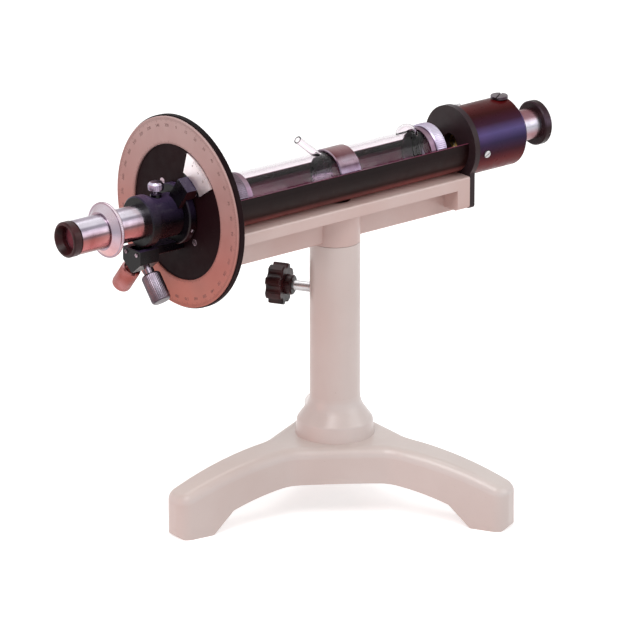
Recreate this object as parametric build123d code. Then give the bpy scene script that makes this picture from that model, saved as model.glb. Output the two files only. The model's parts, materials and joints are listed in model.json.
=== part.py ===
"""A half-shade polarimeter on a tripod stand, with a circular scale and a vernier. Millimetres, +Z up.

X runs along the optical axis, from the eyepiece at -X to the lamp end at +X, and the feet stand on z = 0.
Every place along the bench is measured from the pillar's axis. The finished parts are then moved level,
so that the origin is under the middle of the whole instrument's box.
"""

import os
from math import atan2, cos, degrees, radians, sin, sqrt

from build123d import *

# Clearances
RUN_FIT = 0.05
SEAT_GAP = 0.3

# Heights
AXIS_HEIGHT = 272.0
BASE_TOP = 57.0
BASE_UNDER = 28.0

# Tripod casting
LEG_COUNT = 3
FIRST_LEG_ANGLE = 55.0
LEG_WIDTH = 40.0
TOE_WIDTH = 27.0
LEG_REACH = 153.5
LEG_TIP_TOP = 34.0
LEG_ROUND = 8.0
CASTING_FLAT = 40.0
TOE_ROUND = 11.0
CROTCH_REACH = 43.0
CROTCH_ROUND = 25.0
FOOT_LENGTH = 28.0
FOOT_HEIGHT = 17.0
FOOT_SLOPE = 18.0
TOE_CUT = 3.0

# Pillar, with its skirt, and the bolt that holds it to the casting
PILLAR_RADIUS = 20.0
SKIRT_RADIUS = 31.5
SKIRT_EDGE = 12.0
SKIRT_SHOULDER_RADIUS = 30.0
SKIRT_HEIGHT = 26.0
SKIRT_SHOULDER_ROUND = 4.0
SKIRT_ROOT_ROUND = 20.0
BOLT_RADIUS = 6.0
BOLT_GRIP = 24.0
BOLT_HEAD_FLATS = 19.0
BOLT_HEAD_HEIGHT = 7.5
WASHER_RADIUS = 13.0
WASHER_THICK = 2.0

# Stem, which rises in the pillar and carries the head
STEM_RADIUS = 10.0
STEM_FOOT_CLEAR = 25.5
STEM_BORE_SPARE = 5.0
SPIGOT_RADIUS = 7.0
BUSH_WALL = 3.0
BUSH_LENGTH = 25.0
STEM_NUT_FLATS = 20.0
STEM_NUT_THICK = 5.0
STEM_WASHER_RADIUS = 11.0
STEM_WASHER_THICK = 1.5
STEM_POCKET_RADIUS = 12.5

# Clamp through the pillar's wall
CLAMP_DROP = 97.0
CLAMP_ANGLE = 120.0
CLAMP_SCREW_RADIUS = 4.0
CLAMP_PAD_THICK = 3.0
CLAMP_KNOB_RADIUS = 16.5
CLAMP_KNOB_THICK = 13.0
CLAMP_KNOB_REACH = 40.5
CLAMP_KNOB_LOBES = 8
CLAMP_FLUTE_RADIUS = 4.2
CLAMP_FLUTE_BITE = 2.6
CLAMP_NECK_RADIUS = 8.0
CLAMP_NECK_LENGTH = 6.0

# Bench along the optical axis
BED_FRONT = -145.5
BED_BACK = 118.0
BED_DROP = 21.5
FLANGE_WIDTH = 49.0
FLANGE_DEPTH = 9.5
WEB_THICK = 15.0
WEB_DROP = 53.4
WEB_ROUND = 3.0
EDGE_ROUND = 1.5
RIB_LENGTH = 12.5
RIB_DROP = 47.8
BOSS_DROP = 55.5

# Trough that holds the sample tube
TROUGH_RADIUS = 23.0
TROUGH_WALL = 1.6
TROUGH_RISE = 5.5
TROUGH_SCREW_REACH = 60.0

# End plates
PLATE_THICK = 5.0
PLATE_DOME = 31.0
PLATE_DROP = 48.4
PLATE_SCREW_SPREAD = 17.0
PLATE_SCREW_DROP = 37.0
LIGHT_RADIUS = 8.5

# Circular scale
SCALE_RADIUS = 75.0
SCALE_INNER = 53.5
SCALE_THICK = 1.5
DISC_RIM = 1.0
DISC_THICK = 5.0
DISC_SCREW_CIRCLE = 28.0

# Countersunk screws
SMALL_SCREW_RADIUS = 1.5
SMALL_HEAD_RADIUS = 2.8
SMALL_HEAD_DEPTH = 1.6
SMALL_SCREW_LENGTH = 9.0
PAN_HEAD_HEIGHT = 1.4

# Fixed sleeve that the analyser turns on
SLEEVE_RADIUS = 12.0
SLEEVE_LENGTH = 38.5
SLEEVE_NUT_WALL = 2.0
SLEEVE_NUT_LENGTH = 3.5

# Fine motion arm, its block and its two opposed screws
ARM_RING_RADIUS = 24.0
ARM_RING_LENGTH = 7.2
ARM_WIDTH = 13.0
ARM_DEPTH = 7.5
ARM_CLEAR = 0.7
BLOCK_REACH = 35.0
BLOCK_LENGTH = 18.0
BLOCK_WIDTH = 22.0
BLOCK_FACE = 11.0
SCREW_ANGLE = 39.0
SCREW_CROSS_DROP = 26.0
LUG_PIN_RADIUS = 3.5
LUG_THICK = 4.0
LUG_WIDTH = 4.5
LUG_SWING = 2.5
FINE_SCREW_RADIUS = 2.5
FINE_BUTTON_THICK = 2.0
FINE_NECK_RADIUS = 4.3
FINE_NECK_START = 13.5
FINE_KNOB_RADIUS = 7.5
FINE_KNOB_START = 18.0
FINE_KNOB_LENGTH = 23.0
FINE_KNOB_EDGE = 1.0

# Analyser hub
HUB_RADIUS = 17.0
HUB_COLLAR_RADIUS = 20.0
HUB_COLLAR_LENGTH = 9.0
HUB_FRONT = -195.0
HUB_WALL = 2.0
HUB_EDGE = 1.0
THUMB_REACH = 20.0
THUMB_BOSS_RADIUS = 4.5
THUMB_BOSS_TOP = 19.0
THUMB_SHANK_RADIUS = 2.0
THUMB_HEAD_RADIUS = 6.0
THUMB_HEAD_START = 22.5
THUMB_HEAD_HEIGHT = 6.0

# Vernier
VERNIER_ANGLE = 36.0
VERNIER_SPAN = 40.0
VERNIER_INNER = 36.0
VERNIER_GAP = 0.3
VERNIER_THICK = 1.2
VERNIER_ARM_WIDTH = 14.0
VERNIER_ARM_DEPTH = 4.0

# Telescope and eyepiece
TELESCOPE_RADIUS = 13.5
TELESCOPE_WALL = 1.5
TELESCOPE_INSERT = 5.0
FOCUS_RADIUS = 21.5
FOCUS_LENGTH = 8.0
FOCUS_FRONT = -231.0
FOCUS_EDGE = 1.2
FOCUS_NOSE_RADIUS = 15.0
FOCUS_RIM_LENGTH = 3.5
EYEPIECE_FRONT = -257.0
EYEPIECE_OVERLAP = 20.0
EYECUP_RADIUS = 13.9
EYECUP_LENGTH = 8.0
EYECUP_MOUTH = 11.5
EYECUP_SIGHT = 9.0
EYECUP_FLOOR = 3.0
EYECUP_EDGE = 1.2
LENS_EDGE = 1.6
LENS_CROWN = 1.4
PRISM_SIDE = 10.0
PRISM_LENGTH = 12.0
CELL_LENGTH = 14.0

# Polariser end
HOUSING_RADIUS = 27.7
HOUSING_BACK = 179.0
HOUSING_WALL = 3.0
HOUSING_END_WALL = 8.0
HOUSING_CHAMFER = 5.0
HOUSING_FRONT_CHAMFER = 0.8
HOUSING_SPIGOT = 14.0
HOUSING_SCREW_ANGLE = 100.0
HOUSING_SCREW_COUNT = 3
HOUSING_SCREW_HEAD = 3.0
HALF_SHADE_RADIUS = 12.0
HALF_SHADE_LENGTH = 6.0
HALF_SHADE_SEAT = 2.0
HALF_WAVE_THICK = 1.0
POLARISER_RADIUS = 12.5
POLARISER_WALL = 2.0
POLARISER_FRONT = 148.0
POLARISER_BACK = 208.0
END_RING_RADIUS = 18.0
END_RING_FRONT = 203.5
END_RING_BACK = 210.5
END_RING_EDGE = 1.0
END_RING_MOUTH = 15.5
END_RING_SIGHT = 9.5
LOCK_PLACE = 169.0
LOCK_SHANK_RADIUS = 2.5
LOCK_HEAD_RADIUS = 7.0
LOCK_HEAD_HEIGHT = 2.4

# Sample tube
TUBE_CENTRE = -7.0
TUBE_LENGTH = 200.0
TUBE_RADIUS = 18.5
TUBE_WALL = 1.7
FERRULE_WALL = 1.0
FERRULE_LENGTH = 10.0
CAP_RADIUS = 21.1
CAP_LENGTH = 10.0
CAP_END = 2.0
CAP_EDGE = 0.8
CAP_WINDOW = 9.0
COVER_GLASS_THICK = 2.0
SEAL_THICK = 1.0
SEAL_HOLE = 10.5
COLLAR_CENTRE = 0.5
COLLAR_LENGTH = 21.0
COLLAR_RADIUS = 20.5
NECK_PLACE = -17.0
NECK_LEAN = 50.0
NECK_RADIUS = 3.2
NECK_WALL = 1.0
NECK_LENGTH = 27.0
TRAP_PLACE = 73.0
TRAP_RADIUS = 9.0
TRAP_RISE = 16.0

# Places worked out from the sizes above
DISC_BACK = BED_FRONT - PLATE_THICK
DISC_FRONT = DISC_BACK - DISC_THICK
SCALE_FRONT = DISC_FRONT - SCALE_THICK
DISC_RADIUS = SCALE_RADIUS + DISC_RIM
RING_BACK = DISC_FRONT - SEAT_GAP
RING_FRONT = RING_BACK - ARM_RING_LENGTH
HUB_BACK = RING_FRONT - SEAT_GAP
SLEEVE_FRONT = DISC_BACK - SLEEVE_LENGTH
SLEEVE_NUT_FRONT = SLEEVE_FRONT
SLEEVE_NUT_BACK = SLEEVE_NUT_FRONT + SLEEVE_NUT_LENGTH
HUB_CAVITY_RADIUS = HUB_RADIUS - HUB_WALL
HUB_CAVITY_BACK = SLEEVE_NUT_BACK + SEAT_GAP
TELESCOPE_BACK = HUB_FRONT + TELESCOPE_INSERT
TELESCOPE_BORE = TELESCOPE_RADIUS - TELESCOPE_WALL
FOCUS_BACK = FOCUS_FRONT + FOCUS_LENGTH
DRAW_RADIUS = TELESCOPE_BORE - RUN_FIT
DRAW_BORE = DRAW_RADIUS - TELESCOPE_WALL
DRAW_BACK = FOCUS_FRONT + EYEPIECE_OVERLAP
EYECUP_FRONT = EYEPIECE_FRONT - EYECUP_LENGTH
PILLAR_TOP = AXIS_HEIGHT - BOSS_DROP - SEAT_GAP
STEM_SHOULDER = AXIS_HEIGHT - BOSS_DROP
BOLT_END = BASE_TOP + BOLT_GRIP
STEM_FOOT = BOLT_END + STEM_FOOT_CLEAR
FLANGE_UNDER = BED_DROP + FLANGE_DEPTH
CLAMP_HEIGHT = AXIS_HEIGHT - CLAMP_DROP
PAD_FACE = STEM_RADIUS + SEAT_GAP
SCREW_TIP = PAD_FACE + CLAMP_PAD_THICK
BLOCK_CENTRE = SCALE_FRONT - BLOCK_REACH
BLOCK_TOP = HUB_COLLAR_RADIUS + ARM_CLEAR
BUTTON_FACE = LUG_PIN_RADIUS + SEAT_GAP
FINE_SCREW_TIP = BUTTON_FACE + FINE_BUTTON_THICK
PLATE_BACK = BED_BACK + PLATE_THICK
HOUSING_BORE = HOUSING_RADIUS - HOUSING_WALL
POLARISER_BORE = POLARISER_RADIUS - POLARISER_WALL
TROUGH_BORE = TROUGH_RADIUS - TROUGH_WALL
VERNIER_OUTER = SCALE_INNER - VERNIER_GAP
VERNIER_BACK = RING_BACK
VERNIER_FACE = SCALE_FRONT
FERRULE_RADIUS = TUBE_RADIUS + FERRULE_WALL
CAP_BORE = FERRULE_RADIUS + RUN_FIT


def turned_z(*points):
    """A solid turned about Z from (radius, height) corners."""
    corners = [(radius, 0, height) for radius, height in points]
    return revolve(make_face(Polyline(*corners, close=True)), Axis.Z)


def turned_x(*points):
    """A solid turned about X from (x, radius) corners."""
    corners = [(x, 0, radius) for x, radius in points]
    return revolve(make_face(Polyline(*corners, close=True)), Axis.X)


def rod(radius, start, end):
    """A round bar along X."""
    return turned_x((start, 0), (start, radius), (end, radius), (end, 0))


def pipe(outer, inner, start, end):
    """A round tube along X."""
    return turned_x((start, inner), (start, outer), (end, outer), (end, inner))


def post(radius, bottom, top):
    """A round bar along Z."""
    return turned_z((0, bottom), (radius, bottom), (radius, top), (0, top))


def hexagon(flats, bottom, top):
    """A hexagonal prism along Z."""
    outline = RegularPolygon(flats / 2, 6, major_radius=False)
    return extrude(Pos(0, 0, bottom) * outline, top - bottom)


def ring_edges(shape, radius):
    """The circular edges of one radius, the lowest first."""
    circles = shape.edges().filter_by(GeomType.CIRCLE)
    return circles.filter_by(lambda edge: abs(edge.radius - radius) < 0.01).sort_by(Axis.Z)


def lifted(shape, turn=0.0):
    """A shape drawn about the X axis, turned about it and raised to the optical axis."""
    return Pos(0, 0, AXIS_HEIGHT) * Rot(turn, 0, 0) * shape


def countersunk(length, head_radius, screw_radius, head_depth):
    """A countersunk screw pointing down from z = 0, its head's face at the top."""
    return turned_z(
        (0, 0),
        (head_radius, 0),
        (screw_radius, -head_depth),
        (screw_radius, -length),
        (0, -length),
    )


def small_screw():
    return countersunk(SMALL_SCREW_LENGTH, SMALL_HEAD_RADIUS, SMALL_SCREW_RADIUS, SMALL_HEAD_DEPTH)


def lens(radius, middle):
    """A biconvex lens on the X axis."""
    half = LENS_EDGE / 2
    crown = half + LENS_CROWN
    outline = [
        Line((middle - crown, 0, 0), (middle + crown, 0, 0)),
        ThreePointArc(
            (middle + crown, 0, 0),
            lens_arc_point(radius, middle, 1),
            (middle + half, 0, radius),
        ),
        Line((middle + half, 0, radius), (middle - half, 0, radius)),
        ThreePointArc(
            (middle - half, 0, radius),
            lens_arc_point(radius, middle, -1),
            (middle - crown, 0, 0),
        ),
    ]
    return revolve(make_face(outline), Axis.X)


def lens_arc_point(radius, middle, side):
    """A point half-way out on the lens's curved face."""
    curve = (radius**2 + LENS_CROWN**2) / (2 * LENS_CROWN)
    reach = radius / 2
    sag = curve - sqrt(curve**2 - reach**2)
    return (middle + side * (LENS_EDGE / 2 + LENS_CROWN - sag), 0, reach)


# Stand


def leg_plan():
    """The casting's outline from above: a three-sided hub with three legs that narrow to the toes."""
    plan = RegularPolygon(2 * CROTCH_REACH, LEG_COUNT)
    taper = degrees(atan2((LEG_WIDTH - TOE_WIDTH) / 2, LEG_REACH))
    for index in range(LEG_COUNT):
        leg = Trapezoid(LEG_WIDTH, LEG_REACH, 90 - taper)
        plan += Rot(0, 0, index * 360 / LEG_COUNT) * Pos(LEG_REACH / 2, 0) * Rot(0, 0, -90) * leg
    toes = plan.vertices().filter_by(lambda v: Vector(v.X, v.Y).length > LEG_REACH)
    plan = fillet(toes, TOE_ROUND)
    corners = plan.vertices().filter_by(lambda v: Vector(v.X, v.Y).length < 2 * CROTCH_REACH)
    return fillet(corners, CROTCH_ROUND)


def level_arc(start, end):
    """An arc in the XZ plane that leaves its start level and falls to its end."""
    run = end[0] - start[0]
    drop = start[1] - end[1]
    radius = (run**2 + drop**2) / (2 * drop)
    middle_drop = radius - sqrt(radius**2 - (run / 2) ** 2)
    middle = (start[0] + run / 2, 0, start[1] - middle_drop)
    return ThreePointArc((start[0], 0, start[1]), middle, (end[0], 0, end[1]))


def leg_profile():
    """Half of the casting's section, from its middle out to the toes."""
    heel = LEG_REACH - FOOT_LENGTH
    heel_top = heel - FOOT_SLOPE
    outline = [
        Line((0, 0, BASE_UNDER), (0, 0, BASE_TOP)),
        Line((0, 0, BASE_TOP), (CASTING_FLAT, 0, BASE_TOP)),
        level_arc((CASTING_FLAT, BASE_TOP), (LEG_REACH, LEG_TIP_TOP)),
        Line((LEG_REACH, 0, LEG_TIP_TOP), (LEG_REACH, 0, TOE_CUT)),
        Line((LEG_REACH, 0, TOE_CUT), (LEG_REACH - TOE_CUT, 0, 0)),
        Line((LEG_REACH - TOE_CUT, 0, 0), (heel, 0, 0)),
        Line((heel, 0, 0), (heel_top, 0, FOOT_HEIGHT)),
        level_arc((CASTING_FLAT, BASE_UNDER), (heel_top, FOOT_HEIGHT)),
        Line((CASTING_FLAT, 0, BASE_UNDER), (0, 0, BASE_UNDER)),
    ]
    return revolve(make_face(outline), Axis.Z)


def tripod_base():
    body = extrude(leg_plan(), BASE_TOP) & leg_profile()
    rims = body.edges().filter_by(
        lambda e: e.center().Z > LEG_TIP_TOP - 1
        and Vector(e.center().X, e.center().Y).length > CASTING_FLAT + 1
        and abs((e % 0.5).Z) < 0.5
    )
    body = fillet(rims, LEG_ROUND)
    body -= post(BOLT_RADIUS + SEAT_GAP, BASE_UNDER - 1, BASE_TOP + 1)
    return Rot(0, 0, FIRST_LEG_ANGLE) * body


def pillar():
    """A turned column whose skirt stands on the casting, bored for the stem from above."""
    column = turned_z(
        (0, BASE_TOP),
        (SKIRT_RADIUS, BASE_TOP),
        (SKIRT_SHOULDER_RADIUS, BASE_TOP + SKIRT_EDGE),
        (PILLAR_RADIUS, BASE_TOP + SKIRT_HEIGHT),
        (PILLAR_RADIUS, PILLAR_TOP),
        (0, PILLAR_TOP),
    )
    column = fillet(ring_edges(column, SKIRT_SHOULDER_RADIUS), SKIRT_SHOULDER_ROUND)
    column = fillet(ring_edges(column, PILLAR_RADIUS)[:1], SKIRT_ROOT_ROUND)
    column -= post(STEM_RADIUS + 2 * SEAT_GAP, STEM_FOOT - STEM_BORE_SPARE, PILLAR_TOP + 1)
    column -= post(STEM_RADIUS + BUSH_WALL, PILLAR_TOP - BUSH_LENGTH, PILLAR_TOP + 1)
    column -= post(BOLT_RADIUS, BASE_TOP - 1, BOLT_END + 1)
    return column - clamp_placed(rod(CLAMP_SCREW_RADIUS + RUN_FIT, 0, SKIRT_RADIUS))


def guide_bush():
    bush = post(STEM_RADIUS + BUSH_WALL, PILLAR_TOP - BUSH_LENGTH, PILLAR_TOP)
    return bush - post(STEM_RADIUS + RUN_FIT, PILLAR_TOP - BUSH_LENGTH - 1, PILLAR_TOP + 1)


def pillar_bolt():
    head_top = BASE_UNDER - WASHER_THICK
    head = hexagon(BOLT_HEAD_FLATS, head_top - BOLT_HEAD_HEIGHT, head_top)
    return head + post(BOLT_RADIUS, head_top, BOLT_END)


def pillar_washer():
    ring = post(WASHER_RADIUS, BASE_UNDER - WASHER_THICK, BASE_UNDER)
    return ring - post(BOLT_RADIUS + SEAT_GAP, BASE_UNDER - WASHER_THICK - 1, BASE_UNDER + 1)


def stem():
    spigot_top = AXIS_HEIGHT - FLANGE_UNDER + SEAT_GAP + STEM_WASHER_THICK + STEM_NUT_THICK
    shank = post(STEM_RADIUS, STEM_FOOT, STEM_SHOULDER)
    shank = chamfer(shank.edges().group_by(Axis.Z)[0], 1)
    return shank + post(SPIGOT_RADIUS, STEM_SHOULDER, spigot_top)


def stem_washer():
    bottom = AXIS_HEIGHT - FLANGE_UNDER + SEAT_GAP
    ring = post(STEM_WASHER_RADIUS, bottom, bottom + STEM_WASHER_THICK)
    return ring - post(SPIGOT_RADIUS, bottom - 1, bottom + STEM_WASHER_THICK + 1)


def stem_nut():
    bottom = AXIS_HEIGHT - FLANGE_UNDER + SEAT_GAP + STEM_WASHER_THICK
    nut = hexagon(STEM_NUT_FLATS, bottom, bottom + STEM_NUT_THICK)
    return nut - post(SPIGOT_RADIUS, bottom - 1, bottom + STEM_NUT_THICK + 1)


# Clamp


def clamp_placed(shape):
    """A clamp piece drawn along X from the pillar's axis, put at its height and angle."""
    return Pos(0, 0, CLAMP_HEIGHT) * Rot(0, 0, CLAMP_ANGLE) * shape


def clamp_pad():
    return clamp_placed(rod(CLAMP_SCREW_RADIUS, PAD_FACE, SCREW_TIP))


def clamp_screw():
    return clamp_placed(rod(CLAMP_SCREW_RADIUS, SCREW_TIP, CLAMP_KNOB_REACH + CLAMP_NECK_LENGTH))


def clamp_knob():
    """A fluted hand knob, hollow where the screw is set into it."""
    outline = Circle(CLAMP_KNOB_RADIUS)
    flute_centre = CLAMP_KNOB_RADIUS + CLAMP_FLUTE_RADIUS - CLAMP_FLUTE_BITE
    for flute in PolarLocations(flute_centre, CLAMP_KNOB_LOBES):
        outline -= flute * Circle(CLAMP_FLUTE_RADIUS)
    head = extrude(outline, CLAMP_KNOB_THICK)
    head = fillet(head.edges().group_by(Axis.Z)[-1], EDGE_ROUND)
    head = fillet(head.edges().group_by(Axis.Z)[0], EDGE_ROUND)
    neck = post(CLAMP_NECK_RADIUS, -CLAMP_NECK_LENGTH, 0)
    neck = fillet(neck.edges().group_by(Axis.Z)[0], EDGE_ROUND)
    knob = Pos(CLAMP_KNOB_REACH, 0, 0) * Rot(0, 90, 0) * (head + neck)
    knob -= rod(CLAMP_SCREW_RADIUS, 0, CLAMP_KNOB_REACH + CLAMP_NECK_LENGTH)
    return clamp_placed(knob)


# Bench


def beam():
    """A cast T beam with ribs at its ends and a boss that stands on the stem's shoulder."""
    length = BED_BACK - BED_FRONT
    flange = Pos(0, -BED_DROP - FLANGE_DEPTH / 2) * Rectangle(FLANGE_WIDTH, FLANGE_DEPTH)
    web_depth = WEB_DROP - BED_DROP
    web = Pos(0, -BED_DROP - web_depth / 2) * Rectangle(WEB_THICK, web_depth)
    section = flange + web
    heights = section.vertices().group_by(Axis.Y)
    section = fillet(heights[-1] + heights[0], EDGE_ROUND)
    inner = [v for v in section.vertices() if abs(v.Y + FLANGE_UNDER) < 0.01 and abs(v.X) < WEB_THICK]
    section = fillet(inner, WEB_ROUND)
    casting = extrude(Plane.YZ.offset(BED_FRONT) * section, length)
    rib_depth = RIB_DROP - BED_DROP - EDGE_ROUND
    rib = Box(RIB_LENGTH, FLANGE_WIDTH, rib_depth)
    rib = fillet(rib.edges().filter_by(Axis.X).group_by(Axis.Z)[0], WEB_ROUND)
    rib_middle = -BED_DROP - EDGE_ROUND - rib_depth / 2
    casting += Pos(BED_FRONT + RIB_LENGTH / 2, 0, rib_middle) * rib
    casting += Pos(BED_BACK - RIB_LENGTH / 2, 0, rib_middle) * rib
    casting += post(PILLAR_RADIUS, -BOSS_DROP, -FLANGE_UNDER + 1)
    casting -= rod(TROUGH_RADIUS, BED_FRONT - 1, BED_BACK + 1)
    casting -= post(SPIGOT_RADIUS + RUN_FIT, -BOSS_DROP - 1, 0)
    casting -= post(STEM_POCKET_RADIUS, -FLANGE_UNDER, 0)
    for place in trough_screw_places():
        casting -= Pos(place, 0, -TROUGH_BORE) * post(SMALL_SCREW_RADIUS, -SMALL_SCREW_LENGTH, 0)
    for x, y in plate_screw_places():
        inward = 1 if x < 0 else -1
        hole = rod(SMALL_SCREW_RADIUS, 0, SMALL_SCREW_LENGTH - PLATE_THICK)
        side = 0 if inward > 0 else 180
        casting -= Pos(x, y, -PLATE_SCREW_DROP) * Rot(0, 0, side) * hole
    return lifted(casting)


def trough_section(radius):
    """A half round with straight sides that rise past the optical axis."""
    sides = Pos(0, TROUGH_RISE / 2) * Rectangle(2 * radius, TROUGH_RISE)
    lower = Pos(0, -radius / 2) * Rectangle(2 * radius, radius)
    return (Circle(radius) & lower) + sides


def trough():
    start = Plane.YZ.offset(BED_FRONT)
    length = BED_BACK - BED_FRONT
    shell = extrude(start * (trough_section(TROUGH_RADIUS) - trough_section(TROUGH_BORE)), length)
    for place in trough_screw_places():
        shell -= Pos(place, 0, -TROUGH_BORE) * post(SMALL_SCREW_RADIUS, -SMALL_SCREW_LENGTH, 0)
        shell -= Pos(place, 0, -TROUGH_BORE) * post(SMALL_HEAD_RADIUS, 0, PAN_HEAD_HEIGHT)
    return lifted(shell)


def trough_screw_places():
    return (-TROUGH_SCREW_REACH, TROUGH_SCREW_REACH)


def trough_screws():
    """Low round-headed screws through the trough's floor into the beam."""
    screws = []
    for place in trough_screw_places():
        shank = post(SMALL_SCREW_RADIUS, -SMALL_SCREW_LENGTH, 0)
        head = post(SMALL_HEAD_RADIUS, 0, PAN_HEAD_HEIGHT)
        head = fillet(head.edges().group_by(Axis.Z)[-1], PAN_HEAD_HEIGHT / 2)
        screws.append(lifted(Pos(place, 0, -TROUGH_BORE) * (shank + head)))
    return Part() + screws


def plate_outline(back):
    """A plate across the bench: a dome round the optical axis on a foot as wide as the beam."""
    dome = Circle(PLATE_DOME)
    foot_depth = PLATE_DROP
    foot = Pos(0, -foot_depth / 2) * Rectangle(FLANGE_WIDTH, foot_depth)
    outline = dome + foot
    outline = fillet(outline.vertices().group_by(Axis.Y)[0], WEB_ROUND)
    return extrude(Plane.YZ.offset(back) * outline, PLATE_THICK)


def plate_screw_places():
    """The middle of each plate screw where it enters the beam."""
    return [(x, y) for x in (BED_FRONT, BED_BACK) for y in (-PLATE_SCREW_SPREAD, PLATE_SCREW_SPREAD)]


def plate_screw(x, y):
    """A countersunk screw, its head flush with the plate's outer face."""
    outward = -1 if x < 0 else 1
    face = x + outward * PLATE_THICK
    return Pos(face, y, -PLATE_SCREW_DROP) * Rot(0, 90 * outward, 0) * small_screw()


def plate_screws():
    return Part() + [lifted(plate_screw(x, y)) for x, y in plate_screw_places()]


def front_plate():
    plate = plate_outline(DISC_BACK) - rod(LIGHT_RADIUS, DISC_BACK - 1, BED_FRONT + 1)
    for screw in disc_screw_shapes():
        plate -= screw
    for x, y in plate_screw_places()[:2]:
        plate -= plate_screw(x, y)
    return lifted(plate)


def end_plate():
    """The rear plate, with a spigot that the polariser housing slips over."""
    spigot_end = PLATE_BACK + HOUSING_SPIGOT
    plate = plate_outline(BED_BACK) + rod(HOUSING_BORE, PLATE_BACK - 1, spigot_end)
    plate -= rod(LIGHT_RADIUS, BED_BACK - 1, spigot_end + 1)
    plate -= rod(HALF_SHADE_RADIUS, PLATE_BACK + HALF_SHADE_SEAT, spigot_end + 1)
    for x, y in plate_screw_places()[2:]:
        plate -= plate_screw(x, y)
    for screw in housing_screw_shapes():
        plate -= screw
    return lifted(plate)


# Circular scale


def disc_plate():
    disc = rod(DISC_RADIUS, DISC_FRONT, DISC_BACK)
    disc = fillet(disc.edges(), SCALE_THICK / 2)
    disc -= rod(SLEEVE_RADIUS, DISC_FRONT - 1, DISC_BACK + 1)
    for screw in disc_screw_shapes():
        disc -= screw
    return lifted(disc)


def scale_ring():
    ring = pipe(SCALE_RADIUS, SCALE_INNER, SCALE_FRONT, DISC_FRONT)
    outer = ring.edges().filter_by(GeomType.CIRCLE).group_by(Axis.X)[0]
    return lifted(chamfer(outer, SCALE_THICK / 4))


def disc_screw_shapes():
    """Four countersunk screws, flush with the disc's face, about the optical axis at height 0."""
    screws = []
    for corner in range(4):
        screw = Pos(DISC_FRONT, 0, DISC_SCREW_CIRCLE) * Rot(0, -90, 0) * small_screw()
        screws.append(Rot(45 + 90 * corner, 0, 0) * screw)
    return screws


def disc_screws():
    return Part() + [lifted(screw) for screw in disc_screw_shapes()]


def bearing_sleeve():
    return lifted(pipe(SLEEVE_RADIUS, LIGHT_RADIUS, SLEEVE_FRONT, DISC_BACK))


def sleeve_nut():
    outer = SLEEVE_RADIUS + SLEEVE_NUT_WALL
    return lifted(pipe(outer, SLEEVE_RADIUS, SLEEVE_NUT_FRONT, SLEEVE_NUT_BACK))


# Fine motion


def fine_placed(shape, side):
    """A screw piece drawn down Z from the point where the two screws' axes cross."""
    return lifted(Pos(BLOCK_CENTRE, 0, -SCREW_CROSS_DROP) * Rot(side * SCREW_ANGLE, 0, 0) * shape)


def fine_block():
    """The block's pointed outline, square to both screws, with the lug's pocket open at the top."""
    angle = radians(SCREW_ANGLE)
    half = BLOCK_WIDTH / 2
    tip = -SCREW_CROSS_DROP - BLOCK_FACE / cos(angle)
    shoulder = tip + half * sin(angle) / cos(angle)
    corners = [(-half, -BLOCK_TOP), (half, -BLOCK_TOP), (half, shoulder), (0, tip), (-half, shoulder)]
    outline = make_face(Polyline(*corners, close=True))
    outline = fillet(outline.vertices().group_by(Axis.Y)[0], EDGE_ROUND)
    back = BLOCK_CENTRE + BLOCK_LENGTH / 2
    block = extrude(Plane.YZ.offset(back - BLOCK_LENGTH) * outline, BLOCK_LENGTH)
    pocket_half = LUG_PIN_RADIUS + LUG_SWING
    pocket_floor = -SCREW_CROSS_DROP - pocket_half
    pocket = Box(BLOCK_LENGTH - 2 * EDGE_ROUND, 2 * pocket_half, -BLOCK_TOP - pocket_floor + 1)
    return block - Pos(BLOCK_CENTRE, 0, (pocket_floor - BLOCK_TOP + 1) / 2) * pocket


def fine_motion_arm():
    """A ring on the fixed sleeve, with an arm forward under the hub to the screws' block."""
    ring = pipe(ARM_RING_RADIUS, SLEEVE_RADIUS + RUN_FIT, RING_FRONT, RING_BACK)
    rims = ring.edges().filter_by(GeomType.CIRCLE).sort_by(SortBy.RADIUS)[-2:]
    ring = fillet(rims, EDGE_ROUND)
    arm_front = BLOCK_CENTRE + BLOCK_LENGTH / 2 - 1
    arm = Box(RING_BACK - arm_front, ARM_WIDTH, ARM_DEPTH)
    arm = fillet(arm.edges().filter_by(Axis.X).group_by(Axis.Z)[0], EDGE_ROUND)
    arm = Pos((RING_BACK + arm_front) / 2, 0, -BLOCK_TOP - ARM_DEPTH / 2) * arm
    body = ring + arm + fine_block()
    body = lifted(body)
    for side in (-1, 1):
        body -= fine_placed(post(FINE_SCREW_RADIUS + RUN_FIT, -2 * BLOCK_FACE, 0), side)
    return body


def thrust_button(side):
    button = post(FINE_SCREW_RADIUS, -FINE_SCREW_TIP, -BUTTON_FACE)
    return fine_placed(button, side)


def fine_screw(side):
    """A turned screw with a long straight-knurled head."""
    knob_end = FINE_KNOB_START + FINE_KNOB_LENGTH
    screw = turned_z(
        (0, -FINE_SCREW_TIP),
        (FINE_SCREW_RADIUS, -FINE_SCREW_TIP),
        (FINE_SCREW_RADIUS, -FINE_NECK_START),
        (FINE_NECK_RADIUS, -FINE_NECK_START),
        (FINE_NECK_RADIUS, -FINE_KNOB_START),
        (FINE_KNOB_RADIUS - FINE_KNOB_EDGE, -FINE_KNOB_START),
        (FINE_KNOB_RADIUS, -FINE_KNOB_START - FINE_KNOB_EDGE),
        (FINE_KNOB_RADIUS, -knob_end + FINE_KNOB_EDGE),
        (FINE_KNOB_RADIUS - FINE_KNOB_EDGE, -knob_end),
        (0, -knob_end),
    )
    return fine_placed(screw, side)


# Analyser


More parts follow.
